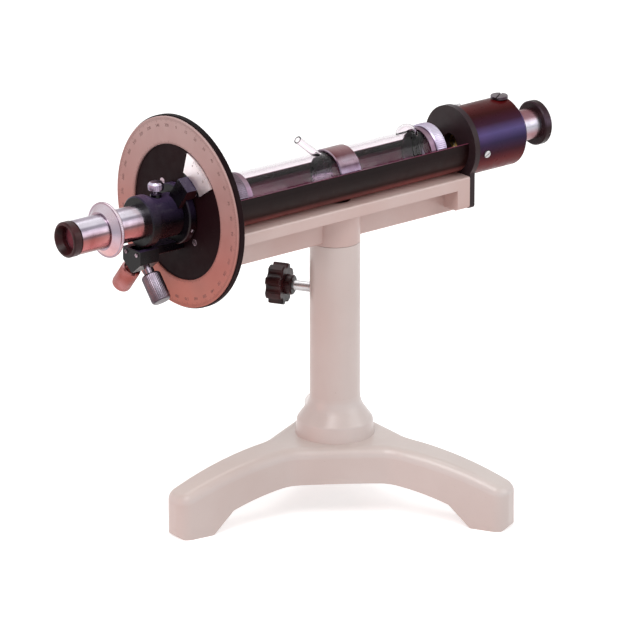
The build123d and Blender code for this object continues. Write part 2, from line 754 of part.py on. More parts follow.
def analyser_hub():
    """A cast hub on the sleeve, with a collar, a thumb screw boss and the lug that the screws hold."""
    collar_back = HUB_FRONT + HUB_COLLAR_LENGTH
    hub = turned_x(
        (HUB_BACK, 0),
        (HUB_BACK, HUB_RADIUS),
        (collar_back, HUB_RADIUS),
        (collar_back - HUB_EDGE, HUB_COLLAR_RADIUS),
        (HUB_FRONT + HUB_EDGE, HUB_COLLAR_RADIUS),
        (HUB_FRONT, HUB_COLLAR_RADIUS - HUB_EDGE),
        (HUB_FRONT, 0),
    )
    boss_x = SCALE_FRONT - THUMB_REACH
    hub += Pos(boss_x, 0, 0) * post(THUMB_BOSS_RADIUS, 0, THUMB_BOSS_TOP)
    lug = Box(LUG_THICK, LUG_WIDTH, SCREW_CROSS_DROP)
    lug_back = HUB_FRONT + LUG_THICK
    hub += Pos(lug_back - LUG_THICK / 2, 0, -SCREW_CROSS_DROP / 2) * lug
    pin_front = BLOCK_CENTRE - FINE_SCREW_RADIUS - EDGE_ROUND
    hub += Pos(0, 0, -SCREW_CROSS_DROP) * rod(LUG_PIN_RADIUS, pin_front, lug_back)
    hub -= rod(SLEEVE_RADIUS + RUN_FIT, HUB_CAVITY_BACK - 1, HUB_BACK + 1)
    hub -= rod(HUB_CAVITY_RADIUS, TELESCOPE_BACK, HUB_CAVITY_BACK)
    hub -= rod(TELESCOPE_RADIUS, HUB_FRONT - 1, TELESCOPE_BACK)
    hub -= Pos(boss_x, 0, 0) * post(THUMB_SHANK_RADIUS + RUN_FIT, 0, THUMB_BOSS_TOP + 1)
    hub -= vernier_bar()
    return lifted(hub)


def vernier_bar_end():
    """How far out the vernier arm's bar reaches, so that its corners stay inside the plate's arc."""
    return sqrt(VERNIER_INNER**2 - (VERNIER_ARM_WIDTH / 2) ** 2)


def vernier_bar():
    """The vernier arm's bar, let into the hub's side, turned to the vernier's angle."""
    inner = HUB_RADIUS - HUB_WALL
    length = vernier_bar_end() - inner
    bar = Box(VERNIER_ARM_DEPTH, VERNIER_ARM_WIDTH, length)
    bar_x = HUB_BACK - VERNIER_ARM_DEPTH / 2
    return Rot(VERNIER_ANGLE, 0, 0) * Pos(bar_x, 0, inner + length / 2) * bar


def sector(inner, outer, span, start, end):
    """A flat ring sector about the X axis, centred on +Z."""
    ring = pipe(outer, inner, start, end)
    half = radians(span / 2)
    side = 2 * outer * sin(half)
    height = 2 * outer * cos(half)
    wedge = make_face(Polyline((0, 0), (-side, height), (side, height), close=True))
    return ring & extrude(Plane.YZ.offset(start) * wedge, end - start)


def vernier_arm():
    """The bar from the hub, stepped back at its end to a foot behind the vernier plate."""
    foot_inner = VERNIER_INNER - VERNIER_ARM_DEPTH
    foot = sector(foot_inner, VERNIER_OUTER, VERNIER_SPAN, VERNIER_FACE, VERNIER_BACK)
    step_inner = ARM_RING_RADIUS + 2 * SEAT_GAP
    step_length = VERNIER_BACK - HUB_BACK + VERNIER_ARM_DEPTH
    step_depth = vernier_bar_end() - step_inner
    step = Box(step_length, VERNIER_ARM_WIDTH, step_depth)
    step = Pos(VERNIER_BACK - step_length / 2, 0, step_inner + step_depth / 2) * step
    return lifted(vernier_bar() + Rot(VERNIER_ANGLE, 0, 0) * (foot + step))


def vernier_plate():
    front = VERNIER_FACE - VERNIER_THICK
    plate = sector(VERNIER_INNER, VERNIER_OUTER, VERNIER_SPAN, front, VERNIER_FACE)
    return lifted(plate, VERNIER_ANGLE)


def hub_thumb_screw():
    head_end = THUMB_HEAD_START + THUMB_HEAD_HEIGHT
    screw = turned_z(
        (0, SLEEVE_RADIUS + SEAT_GAP),
        (THUMB_SHANK_RADIUS, SLEEVE_RADIUS + SEAT_GAP),
        (THUMB_SHANK_RADIUS, THUMB_BOSS_TOP + EDGE_ROUND),
        (THUMB_BOSS_RADIUS - 1, THUMB_HEAD_START),
        (THUMB_HEAD_RADIUS, THUMB_HEAD_START),
        (THUMB_HEAD_RADIUS, head_end - EDGE_ROUND),
        (THUMB_HEAD_RADIUS - EDGE_ROUND, head_end),
        (0, head_end),
    )
    return lifted(Pos(SCALE_FRONT - THUMB_REACH, 0, 0) * screw)


def telescope_tube():
    return lifted(pipe(TELESCOPE_RADIUS, TELESCOPE_BORE, FOCUS_FRONT, TELESCOPE_BACK))


def prism_bar(middle):
    return Pos(middle, 0, 0) * Box(PRISM_LENGTH, PRISM_SIDE, PRISM_SIDE)


def cell(radius, middle):
    """A brass cell that fills its tube and holds a square prism."""
    half = CELL_LENGTH / 2
    return rod(radius, middle - half, middle + half) - prism_bar(middle) - square_way(middle)


def square_way(middle):
    """The light's way through the cell past the prism's ends."""
    return rod(PRISM_SIDE / 2, middle - CELL_LENGTH, middle + CELL_LENGTH)


def analyser_middle():
    return TELESCOPE_BACK - SEAT_GAP - CELL_LENGTH / 2


def objective_middle():
    return analyser_middle() - CELL_LENGTH / 2 - LENS_EDGE / 2 - LENS_CROWN


def focus_ring():
    """A thin bell on the telescope tube, with a rim to turn it by."""
    rim_front = FOCUS_BACK - FOCUS_RIM_LENGTH
    ring = turned_x(
        (FOCUS_BACK, TELESCOPE_RADIUS + RUN_FIT),
        (FOCUS_BACK, FOCUS_RADIUS - FOCUS_EDGE),
        (FOCUS_BACK - FOCUS_EDGE, FOCUS_RADIUS),
        (rim_front, FOCUS_RADIUS),
        (rim_front, FOCUS_RADIUS - FOCUS_EDGE),
        (FOCUS_FRONT, FOCUS_NOSE_RADIUS),
        (FOCUS_FRONT, TELESCOPE_RADIUS + RUN_FIT),
    )
    return lifted(ring)


def eyepiece_tube():
    """The draw tube: the full bore outside, and a thinner sleeve that slides in the telescope."""
    step = FOCUS_FRONT - SEAT_GAP
    tube = turned_x(
        (EYEPIECE_FRONT, DRAW_BORE),
        (EYEPIECE_FRONT, TELESCOPE_RADIUS),
        (step, TELESCOPE_RADIUS),
        (step, DRAW_RADIUS),
        (DRAW_BACK, DRAW_RADIUS),
        (DRAW_BACK, DRAW_BORE),
    )
    return lifted(tube)


def eyecup():
    """A black cup with a sloping floor round the eye lens."""
    floor = EYEPIECE_FRONT - EYECUP_FLOOR
    cup = turned_x(
        (EYEPIECE_FRONT, EYECUP_SIGHT),
        (EYEPIECE_FRONT, EYECUP_RADIUS - EYECUP_EDGE),
        (EYEPIECE_FRONT - EYECUP_EDGE, EYECUP_RADIUS),
        (EYECUP_FRONT + EYECUP_EDGE, EYECUP_RADIUS),
        (EYECUP_FRONT, EYECUP_RADIUS - EYECUP_EDGE),
        (EYECUP_FRONT, EYECUP_MOUTH),
        (floor, EYECUP_SIGHT),
    )
    return lifted(cup)


def eye_lens_middle():
    return EYEPIECE_FRONT + LENS_CROWN + LENS_EDGE / 2


# Polariser end


def polariser_housing():
    bore_end = HOUSING_BACK - HOUSING_END_WALL
    housing = turned_x(
        (PLATE_BACK, HOUSING_BORE),
        (PLATE_BACK, HOUSING_RADIUS - HOUSING_FRONT_CHAMFER),
        (PLATE_BACK + HOUSING_FRONT_CHAMFER, HOUSING_RADIUS),
        (HOUSING_BACK - HOUSING_CHAMFER, HOUSING_RADIUS),
        (HOUSING_BACK, HOUSING_RADIUS - HOUSING_CHAMFER),
        (HOUSING_BACK, POLARISER_RADIUS + RUN_FIT),
        (bore_end, POLARISER_RADIUS + RUN_FIT),
        (bore_end, HOUSING_BORE),
    )
    housing -= Pos(LOCK_PLACE, 0, 0) * post(LOCK_SHANK_RADIUS + RUN_FIT, 0, HOUSING_RADIUS + 1)
    for screw in housing_screw_shapes():
        housing -= screw
    return lifted(housing)


def housing_screw_shapes():
    """Round-headed screws through the housing's wall into the spigot, evenly round the axis."""
    screws = []
    place = PLATE_BACK + HOUSING_SPIGOT - HOUSING_SCREW_HEAD - 1
    for index in range(HOUSING_SCREW_COUNT):
        shank = post(SMALL_SCREW_RADIUS, HOUSING_RADIUS - SMALL_SCREW_LENGTH, HOUSING_RADIUS)
        head = post(HOUSING_SCREW_HEAD, HOUSING_RADIUS - EDGE_ROUND, HOUSING_RADIUS + EDGE_ROUND)
        head = fillet(head.edges().group_by(Axis.Z)[-1], PAN_HEAD_HEIGHT / 2)
        turn = HOUSING_SCREW_ANGLE + index * 360 / HOUSING_SCREW_COUNT
        screws.append(Rot(turn, 0, 0) * Pos(place, 0, 0) * (shank + head))
    return screws


def housing_screws():
    return Part() + [lifted(screw) for screw in housing_screw_shapes()]


def half_shade_back():
    return PLATE_BACK + HALF_SHADE_SEAT


def half_shade_cell():
    start = half_shade_back()
    ring = pipe(HALF_SHADE_RADIUS, LIGHT_RADIUS, start, start + HALF_SHADE_LENGTH)
    return lifted(ring)


def half_wave_plate():
    """A half-round quartz plate that covers one half of the field."""
    start = half_shade_back() + HALF_SHADE_LENGTH / 2
    disc = rod(LIGHT_RADIUS, start, start + HALF_WAVE_THICK)
    half = Pos(start, LIGHT_RADIUS, 0) * Box(4 * HALF_WAVE_THICK, 2 * LIGHT_RADIUS, 2 * LIGHT_RADIUS)
    return lifted(disc & half)


def polariser_tube():
    return lifted(pipe(POLARISER_RADIUS, POLARISER_BORE, POLARISER_FRONT, POLARISER_BACK))


def polariser_middle():
    return POLARISER_FRONT + 2 * SEAT_GAP + CELL_LENGTH / 2


def condenser_middle():
    return POLARISER_BACK - LENS_CROWN - LENS_EDGE / 2


def end_ring():
    """A black ring on the end of the polariser tube, with a conical mouth for the lamp's light."""
    ring = turned_x(
        (END_RING_FRONT, POLARISER_RADIUS),
        (END_RING_FRONT, END_RING_RADIUS - END_RING_EDGE),
        (END_RING_FRONT + END_RING_EDGE, END_RING_RADIUS),
        (END_RING_BACK - END_RING_EDGE, END_RING_RADIUS),
        (END_RING_BACK, END_RING_RADIUS - END_RING_EDGE),
        (END_RING_BACK, END_RING_MOUTH),
        (POLARISER_BACK + END_RING_EDGE, END_RING_SIGHT),
        (POLARISER_BACK, END_RING_SIGHT),
        (POLARISER_BACK, POLARISER_RADIUS),
    )
    return lifted(ring)


def polariser_lock_screw():
    screw = turned_z(
        (0, POLARISER_RADIUS + SEAT_GAP),
        (LOCK_SHANK_RADIUS, POLARISER_RADIUS + SEAT_GAP),
        (LOCK_SHANK_RADIUS, HOUSING_RADIUS + SEAT_GAP),
        (LOCK_HEAD_RADIUS, HOUSING_RADIUS + SEAT_GAP),
        (LOCK_HEAD_RADIUS, HOUSING_RADIUS + SEAT_GAP + LOCK_HEAD_HEIGHT / 2),
        (LOCK_HEAD_RADIUS - 1, HOUSING_RADIUS + SEAT_GAP + LOCK_HEAD_HEIGHT),
        (0, HOUSING_RADIUS + SEAT_GAP + LOCK_HEAD_HEIGHT),
    )
    return lifted(Pos(LOCK_PLACE, 0, 0) * screw)


# Sample tube


def tube_end(side):
    return TUBE_CENTRE + side * TUBE_LENGTH / 2


def filling_neck(radius):
    """The leaning neck's bar, from the tube's wall outward."""
    bar = post(radius, 0, NECK_LENGTH)
    return Pos(NECK_PLACE, 0, TUBE_RADIUS - TUBE_WALL) * Rot(0, -NECK_LEAN, 0) * bar


def tube_glass():
    """The glass jacket, with an open filling neck and a bubble trap blown up on its top side."""
    start = tube_end(-1)
    end = tube_end(1)
    bore = rod(TUBE_RADIUS - TUBE_WALL, start - 1, end + 1)
    trap = Pos(TRAP_PLACE, 0, TRAP_RISE)
    glass = rod(TUBE_RADIUS, start, end) + trap * Sphere(TRAP_RADIUS)
    glass += filling_neck(NECK_RADIUS)
    glass -= bore
    glass -= trap * Sphere(TRAP_RADIUS - TUBE_WALL)
    glass -= filling_neck(NECK_RADIUS - NECK_WALL)
    return lifted(glass)


def tube_ferrules():
    rings = []
    for side in (-1, 1):
        end = tube_end(side)
        low, high = sorted((end, end - side * FERRULE_LENGTH))
        rings.append(lifted(pipe(FERRULE_RADIUS, TUBE_RADIUS, low, high)))
    return Part() + rings


def tube_collar():
    start = COLLAR_CENTRE - COLLAR_LENGTH / 2
    end = COLLAR_CENTRE + COLLAR_LENGTH / 2
    collar = pipe(COLLAR_RADIUS, TUBE_RADIUS, start, end)
    rims = collar.edges().filter_by(GeomType.CIRCLE).sort_by(SortBy.RADIUS)[-2:]
    return lifted(chamfer(rims, CAP_EDGE))


def cover_glass(side):
    face = tube_end(side)
    low, high = sorted((face, face + side * COVER_GLASS_THICK))
    return lifted(rod(TUBE_RADIUS, low, high))


def seal_washer(side):
    face = tube_end(side) + side * COVER_GLASS_THICK
    low, high = sorted((face, face + side * SEAL_THICK))
    return lifted(pipe(TUBE_RADIUS, SEAL_HOLE, low, high))


def tube_cap(side):
    """A screw cap with a window, its end wall on the washer."""
    wall = tube_end(side) + side * (COVER_GLASS_THICK + SEAL_THICK)
    face = wall + side * CAP_END
    mouth = face - side * CAP_LENGTH
    cap = turned_x(
        (mouth, CAP_BORE),
        (mouth, CAP_RADIUS - CAP_EDGE),
        (mouth + side * CAP_EDGE, CAP_RADIUS),
        (face - side * CAP_EDGE, CAP_RADIUS),
        (face, CAP_RADIUS - CAP_EDGE),
        (face, CAP_WINDOW),
        (wall, CAP_WINDOW),
        (wall, CAP_BORE),
    )
    return lifted(cap)


def parts():
    """Every node's name and solid, measured from the pillar's axis."""
    return {
        "tripod_base": tripod_base(),
        "pillar": pillar(),
        "guide_bush": guide_bush(),
        "pillar_bolt": pillar_bolt(),
        "pillar_washer": pillar_washer(),
        "clamp_pad": clamp_pad(),
        "clamp_screw": clamp_screw(),
        "clamp_knob": clamp_knob(),
        "stem": stem(),
        "stem_washer": stem_washer(),
        "stem_nut": stem_nut(),
        "beam": beam(),
        "trough": trough(),
        "trough_screws": trough_screws(),
        "front_plate": front_plate(),
        "end_plate": end_plate(),
        "plate_screws": plate_screws(),
        "disc_plate": disc_plate(),
        "disc_screws": disc_screws(),
        "scale_ring": scale_ring(),
        "bearing_sleeve": bearing_sleeve(),
        "sleeve_nut": sleeve_nut(),
        "fine_motion_arm": fine_motion_arm(),
        "thrust_button_near": thrust_button(-1),
        "thrust_button_far": thrust_button(1),
        "fine_screw_near": fine_screw(-1),
        "fine_screw_far": fine_screw(1),
        "analyser_hub": analyser_hub(),
        "vernier_arm": vernier_arm(),
        "vernier_plate": vernier_plate(),
        "hub_thumb_screw": hub_thumb_screw(),
        "telescope_tube": telescope_tube(),
        "analyser_cell": lifted(cell(TELESCOPE_BORE, analyser_middle())),
        "analyser_prism": lifted(prism_bar(analyser_middle())),
        "objective_lens": lifted(lens(TELESCOPE_BORE, objective_middle())),
        "focus_ring": focus_ring(),
        "eyepiece_tube": eyepiece_tube(),
        "eyecup": eyecup(),
        "eye_lens": lifted(lens(DRAW_BORE, eye_lens_middle())),
        "field_lens": lifted(lens(DRAW_BORE, DRAW_BACK - LENS_CROWN - LENS_EDGE / 2)),
        "polariser_housing": polariser_housing(),
        "housing_screws": housing_screws(),
        "half_shade_cell": half_shade_cell(),
        "half_wave_plate": half_wave_plate(),
        "polariser_tube": polariser_tube(),
        "polariser_cell": lifted(cell(POLARISER_BORE, polariser_middle())),
        "polariser_prism": lifted(prism_bar(polariser_middle())),
        "condenser_lens": lifted(lens(POLARISER_BORE, condenser_middle())),
        "end_ring": end_ring(),
        "polariser_lock_screw": polariser_lock_screw(),
        "tube_glass": tube_glass(),
        "tube_ferrules": tube_ferrules(),
        "tube_collar": tube_collar(),
        "cover_glass_front": cover_glass(-1),
        "seal_washer_front": seal_washer(-1),
        "tube_cap_front": tube_cap(-1),
        "cover_glass_rear": cover_glass(1),
        "seal_washer_rear": seal_washer(1),
        "tube_cap_rear": tube_cap(1),
    }


def box_middle(shapes):
    """The level middle of the box round all the shapes."""
    boxes = [shape.bounding_box() for shape in shapes]
    middle_x = (min(box.min.X for box in boxes) + max(box.max.X for box in boxes)) / 2
    middle_y = (min(box.min.Y for box in boxes) + max(box.max.Y for box in boxes)) / 2
    return Pos(middle_x, middle_y, 0)


os.makedirs("parts", exist_ok=True)
pieces = parts()
to_origin = box_middle(pieces.values()).inverse()
for name, shape in pieces.items():
    export_step(to_origin * shape, f"parts/{name}.step")
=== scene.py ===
"""The looks of the half-shade polarimeter, in metres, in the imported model's own frame.

The optical axis runs along X, from the eyepiece at -X to the lamp end at +X.
"""

import json
from math import cos, pi, radians, sin

import bmesh
import bpy
from mathutils import Matrix, Vector


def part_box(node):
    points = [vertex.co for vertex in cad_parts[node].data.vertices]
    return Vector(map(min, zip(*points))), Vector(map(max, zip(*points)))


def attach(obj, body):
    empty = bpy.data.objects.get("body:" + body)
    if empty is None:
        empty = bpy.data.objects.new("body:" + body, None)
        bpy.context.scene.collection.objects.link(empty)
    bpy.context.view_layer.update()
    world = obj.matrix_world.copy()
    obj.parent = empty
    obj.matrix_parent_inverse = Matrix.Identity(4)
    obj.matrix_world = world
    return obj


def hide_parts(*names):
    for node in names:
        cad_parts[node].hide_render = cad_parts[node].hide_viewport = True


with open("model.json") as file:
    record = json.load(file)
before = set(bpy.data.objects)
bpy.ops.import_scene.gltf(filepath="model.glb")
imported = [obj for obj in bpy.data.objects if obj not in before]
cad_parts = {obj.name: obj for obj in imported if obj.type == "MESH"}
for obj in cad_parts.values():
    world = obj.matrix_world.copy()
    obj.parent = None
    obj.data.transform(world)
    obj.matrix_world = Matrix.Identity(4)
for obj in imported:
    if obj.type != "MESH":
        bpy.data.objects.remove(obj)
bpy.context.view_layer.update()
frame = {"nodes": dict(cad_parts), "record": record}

MM = 0.001

# The photograph's frame and view
IMAGE_SIZE = 640
PILLAR_FOOT_PIXEL = (334.8, 498.0)
PIXELS_PER_MM = 1.257
CAMERA_AZIMUTH = -39.27
CAMERA_ELEVATION = 19.17
CAMERA_DISTANCE = 5.0
CAMERA_REACH = 100
SENSOR_WIDTH = 36.0

# Circular scale, whose line lengths are those at the tens, at the fives and at the rest
SCALE_INNER = 53.5 * MM
LINE_DEPTH = 0.05 * MM
LINE_WIDTH = 0.16 * MM
SCALE_LINES = (3.6 * MM, 2.9 * MM, 2.0 * MM)
SCALE_MARGIN = 0.9 * MM
INNER_MARGIN = 0.1 * MM
INNER_LINE_SHARE = 0.7
NUMBER_STEP = 10
NUMBER_SIZE = 3.4 * MM
NUMBER_DROP = 7.0 * MM

# Vernier
VERNIER_ANGLE = 36.0
VERNIER_DIVISIONS = 20
VERNIER_STEP = 0.95
VERNIER_LINES = (3.4 * MM, 2.6 * MM, 1.9 * MM)
VERNIER_MARGIN = 0.5 * MM
VERNIER_NUMBER_SIZE = 2.4 * MM
VERNIER_NUMBER_DROP = 5.4 * MM

# Knurling, whose spans start and end along each band's own axis
KNURL_PROUD = 0.25 * MM
KNURL_EDGE = 0.6 * MM
KNURL_LIFT = 0.02 * MM
KNURL_ROOT = 0.4 * MM
STEPS_PER_RIB = 6
KNURL_SMOOTH = 50
FOCUS_KNURL = (1.3 * MM, 3.4 * MM)
FOCUS_PITCH = 1.4 * MM
THUMB_KNURL = (-5.4 * MM, -1.7 * MM)
THUMB_PITCH = 1.2 * MM
CAP_KNURL_MARGIN = 1.2 * MM
CAP_PITCH = 1.5 * MM

# Fine motion
FINE_SCREW_ANGLE = 39.0
SCREW_CROSS_DROP = 26.0 * MM
FINE_KNOB_RADIUS = 7.5 * MM
FINE_KNURL = (19.4 * MM, 39.6 * MM)
FINE_PITCH = 1.3 * MM

# Screw heads, with the turns of their slots, HALF_HEAD_GAP and ARM_SCREW_ANGLES in radians
SLOT_WIDTH = 0.7 * MM
SLOT_DEPTH = 0.8 * MM
HEAD_SIDES = 32
HALF_HEAD_STEPS = 16
HALF_HEAD_GAP = 0.04 * pi
HEAD_ROOT = 1.4 * MM
HEAD_BEVEL = 0.45
SUNK_BEVEL = 0.1
SHANK_SHARE = 0.8
HEAD_SMOOTH = 40
SUNK_HEAD = 2.75 * MM
SUNK_FOOT = 2.0 * MM
SUNK_PROUD = 0.02 * MM
SUNK_SLOT_TURN = 0.7
SUNK_SLOT_STEP = 1.9
DISC_SCREWS = 4
DISC_SCREW_ANGLE = 45
DISC_SCREW_CIRCLE = 28.0 * MM
PLATE_SCREW_SPREAD = 17.0 * MM
PLATE_SCREW_DROP = 37.0 * MM
HOUSING_SCREWS = 3
HOUSING_SCREW_ANGLE = 100.0
HOUSING_HEAD = 3.0 * MM
HOUSING_HEAD_HEIGHT = 1.5 * MM
HOUSING_SLOT_TURN = 0.5
LOCK_HEAD_HEIGHT = 2.4 * MM
LOCK_SLOT_TURN = 0.6
DETAIL_HEAD = 1.6 * MM
DETAIL_HEAD_HEIGHT = 1.1 * MM
DETAIL_ROOT = 0.4 * MM
BLOCK_SCREW_SPREAD = 6.5 * MM
BLOCK_SCREW_RISE = 2.0 * MM
BLOCK_SLOT_TURN = 0.8
ARM_RING_RADIUS = 24.0 * MM
ARM_RING_LENGTH = 7.2 * MM
ARM_SCREW_ANGLES = (0.30, 1.95)
ARM_SLOT_TURN = 0.3

# Surroundings
WHITE = (1, 1, 1)
ROOM_COLOUR = (1, 0.98, 0.97)
ROOM_LEVEL = 0.45
FLOOR_SIZE = 6.0
FLOOR_COLOUR = (0.8, 0.8, 0.8)
FLOOR_ROUGHNESS = 0.9
FLOOR_LIFT = 0.6

# Lamps: name, azimuth and elevation in degrees, distance, size, power and colour
LAMP_AIM_HEIGHT = 0.2
LAMPS = [
    ("key", -60, 55, 1.6, 0.9, 12, WHITE),
    ("fill", 40, 25, 2.0, 1.2, 8, WHITE),
    ("top", 160, 70, 1.8, 1.0, 7, WHITE),
    ("ember", -100, 5, 1.6, 0.6, 2.5, (1, 0.25, 0.12)),
]

# The colour sockets of a mix node, which share their names with its other sockets
MIX_FIRST = 6
MIX_SECOND = 7
MIX_RESULT = 2

# The part of a noise's range that most of its values lie in
NOISE_LOW = 0.3
NOISE_HIGH = 0.7

# A noise drawn out round the optical axis, as a lathe leaves it
TURNED_GRAIN = (1, 14, 14)

# A ring this small closes to a point when near points are merged
POINT_RADIUS = 0.0001 * MM
MERGE_DISTANCE = 0.0001 * MM


def middle(node):
    low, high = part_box(node)
    return (low + high) / 2


def box_radius(node):
    """The radius of a round node, whose axis runs along X or Z."""
    low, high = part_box(node)
    return (high.y - low.y) / 2


def half_height(node):
    low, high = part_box(node)
    return (high.z - low.z) / 2


def top_centre(node):
    """The placement on top of a node that stands above the optical axis."""
    return Matrix.Translation((middle(node).x, AXIS_Y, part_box(node)[1].z))


AXIS = middle("eyepiece_tube")
AXIS_Y = AXIS.y
AXIS_Z = AXIS.z
PILLAR = middle("pillar")
SCALE_OUTER = half_height("scale_ring")
TO_EYE = Vector((-1, 0, 0))
TO_LAMP = Vector((1, 0, 0))


# Materials


class Nodes:
    """A material's node tree, with short ways to add to it."""

    def __init__(self, name):
        self.material = bpy.data.materials.new(name)
        self.material.use_nodes = True
        self.tree = self.material.node_tree
        self.shader = self.tree.nodes["Principled BSDF"]
        self.coordinates = self.add("ShaderNodeTexCoord").outputs["Object"]

    def add(self, kind, **values):
        node = self.tree.nodes.new(kind)
        for key, value in values.items():
            setattr(node, key, value)
        return node

    def link(self, output, socket):
        self.tree.links.new(output, socket)

    def set(self, **values):
        """Uniform values on the shader's own sockets, named with _ for each space."""
        for key, value in values.items():
            self.shader.inputs[key.replace("_", " ")].default_value = value

    def noise(self, scale, detail=3.0, stretch=(1, 1, 1)):
        mapping = self.add("ShaderNodeMapping")
        mapping.inputs["Scale"].default_value = stretch
        self.link(self.coordinates, mapping.inputs["Vector"])
        noise = self.add("ShaderNodeTexNoise")
        noise.inputs["Scale"].default_value = scale
        noise.inputs["Detail"].default_value = detail
        self.link(mapping.outputs["Vector"], noise.inputs["Vector"])
        return noise.outputs["Fac"]

    def ramp(self, source, low, high, start, end):
        """A colour that goes from start to end while the source goes from low to high."""
        ramp = self.add("ShaderNodeValToRGB")
        for element, place, colour in zip(ramp.color_ramp.elements, (low, high), (start, end)):
            element.position = place
            element.color = (*colour, 1)
        self.link(source, ramp.inputs["Fac"])
        return ramp.outputs["Color"]

    def spread(self, source, low, high):
        """The middle of a noise, mapped to a range of values."""
        return self.mapped(source, NOISE_LOW, NOISE_HIGH, low, high)

    def mapped(self, source, start, end, low=0, high=1):
        """The values from start to end, mapped to those from low to high."""
        node = self.add("ShaderNodeMapRange")
        node.inputs["From Min"].default_value = start
        node.inputs["From Max"].default_value = end
        node.inputs["To Min"].default_value = low
        node.inputs["To Max"].default_value = high
        self.link(source, node.inputs["Value"])
        return node.outputs["Result"]

    def mix(self, factor, first, second, kind="MIX"):
        """One colour over another, each a colour or an output."""
        mixed = self.add("ShaderNodeMix", data_type="RGBA", blend_type=kind)
        self.link(factor, mixed.inputs["Factor"])
        for value, place in ((first, MIX_FIRST), (second, MIX_SECOND)):
            socket = mixed.inputs[place]
            if isinstance(value, tuple):
                socket.default_value = (*value, 1)
            else:
                self.link(value, socket)
        return mixed.outputs[MIX_RESULT]

    def worn_edge(self, low, high):
        """Near 1 on the raised edges that hands and cloths rub."""
        return self.mapped(self.add("ShaderNodeNewGeometry").outputs["Pointiness"], low, high)

    def facing(self, stops):
        """Colours that follow how far a face looks up or down, from (-1 to 1, colour) stops."""
        normal = self.upward(self.add("ShaderNodeNewGeometry").outputs["Normal"])
        return self.tones(normal, -1, 1, [((level + 1) / 2, colour) for level, colour in stops])

    def height(self, low, high, stops):
        """Colours that follow the height, from (0 to 1, colour) stops."""
        return self.tones(self.upward(self.coordinates), low, high, stops)

    def upward(self, vector):
        split = self.add("ShaderNodeSeparateXYZ")
        self.link(vector, split.inputs[0])
        return split.outputs["Z"]

    def tones(self, source, low, high, stops):
        """Colours for the values from low to high, from (0 to 1, colour) stops."""
        ramp = self.add("ShaderNodeValToRGB")
        elements = ramp.color_ramp.elements
        while len(elements) < len(stops):
            elements.new(0.5)
        for element, (place, colour) in zip(elements, stops):
            element.position = place
            element.color = (*colour, 1)
        self.link(self.mapped(source, low, high), ramp.inputs["Fac"])
        return ramp.outputs["Color"]

    def bump(self, source, distance, strength=1.0):
        bump = self.add("ShaderNodeBump")
        bump.inputs["Strength"].default_value = strength
        bump.inputs["Distance"].default_value = distance
        self.link(source, bump.inputs["Height"])
        self.link(bump.outputs["Normal"], self.shader.inputs["Normal"])


def shade(value):
    """A colour read as 0 to 255 turned to the shader's linear values."""
    return tuple((v / 255) ** 2.2 for v in value)


def enamel(name, light, dark):
    """Stoved enamel: nearly even, a little thinner over the casting's grain, with a soft gloss, and with
    painted shade and a painted warm reflection on the faces that look down.
    """
    look = Nodes(name)
    cloud = look.noise(9, 4)
    colour = look.ramp(cloud, 0.35, 0.65, dark, light)
    speck = look.ramp(look.noise(900, 2), 0.70, 0.78, (1, 1, 1), (0.86, 0.82, 0.78))
    colour = look.mix(look.spread(cloud, 0.8, 1.0), colour, speck, "MULTIPLY")
    # Painted shade: faces that look down are darker and redder, as in shade with a warm reflection; faces
    # that look up change only a little.
    painted_shade = look.facing([
        (-1.0, (0.90, 0.76, 0.74)),
        (-0.2, (0.97, 0.92, 0.91)),
        (0.25, (1.0, 1.04, 1.07)),
        (0.5, (0.99, 1.02, 1.04)),
        (0.8, (0.93, 0.96, 0.96)),
    ])
    colour = look.mix(look.spread(look.noise(14, 3), 0.85, 1.0), colour, painted_shade, "MULTIPLY")
    look.link(colour, look.shader.inputs["Base Color"])
    look.link(look.spread(look.noise(160, 4), 0.30, 0.42), look.shader.inputs["Roughness"])
    look.bump(look.noise(120, 5), 0.0004, 0.35)
    look.set(Coat_Weight=0.25, Coat_Roughness=0.15)
    return look.material


def black_enamel(name, stops, rough=0.4, gloss=0.2):
    """Black lacquer on metal, cloudy where it is thin, with reflections and shade painted in tones that
    follow how far each face looks up or down.
    """
    look = Nodes(name)
    # Painted reflections and shade, by how far each face looks up or down.
    colour = look.facing(stops)
    cloud = look.ramp(look.noise(26, 4), 0.35, 0.7, (1, 1, 1), (1.5, 1.2, 1.2))
    colour = look.mix(look.spread(look.noise(9, 3), 0.5, 1.0), colour, cloud, "MULTIPLY")
    scuff = look.ramp(look.noise(420, 4), 0.66, 0.8, (0, 0, 0), (0.35, 0.35, 0.35))
    colour = look.mix(scuff, colour, shade((70, 54, 54)))
    look.link(colour, look.shader.inputs["Base Color"])
    look.link(look.spread(look.noise(140, 5), rough - 0.08, rough + 0.1), look.shader.inputs["Roughness"])
    look.bump(look.noise(260, 4), 0.0001, 0.2)
    look.set(Specular_IOR_Level=gloss)
    return look.material


def bright_metal(name, base, dull, rough=0.14, turned=(1, 1, 1), scale=60, grain=1800, stops=None):
    """Plated or turned metal with faint cloth marks and a turning grain; stops, where given, paint
    reflections, highlights and shade by how far each face looks up or down.
    """
    look = Nodes(name)
    colour = look.ramp(look.noise(scale, 4), 0.35, 0.7, base, dull)
    if stops:
        # Painted reflections and shade, laid nearly fully over the metal's colour.
        painted_reflection_share = look.spread(look.noise(scale, 2), 0.92, 1.0)
        colour = look.mix(painted_reflection_share, colour, look.facing(stops), "MULTIPLY")
    look.link(colour, look.shader.inputs["Base Color"])
    look.link(look.spread(look.noise(scale * 2, 5), rough, rough + 0.14), look.shader.inputs["Roughness"])
    look.bump(look.noise(grain, 2, turned), 0.00004, 0.3)
    look.set(Metallic=1.0)
    return look.material


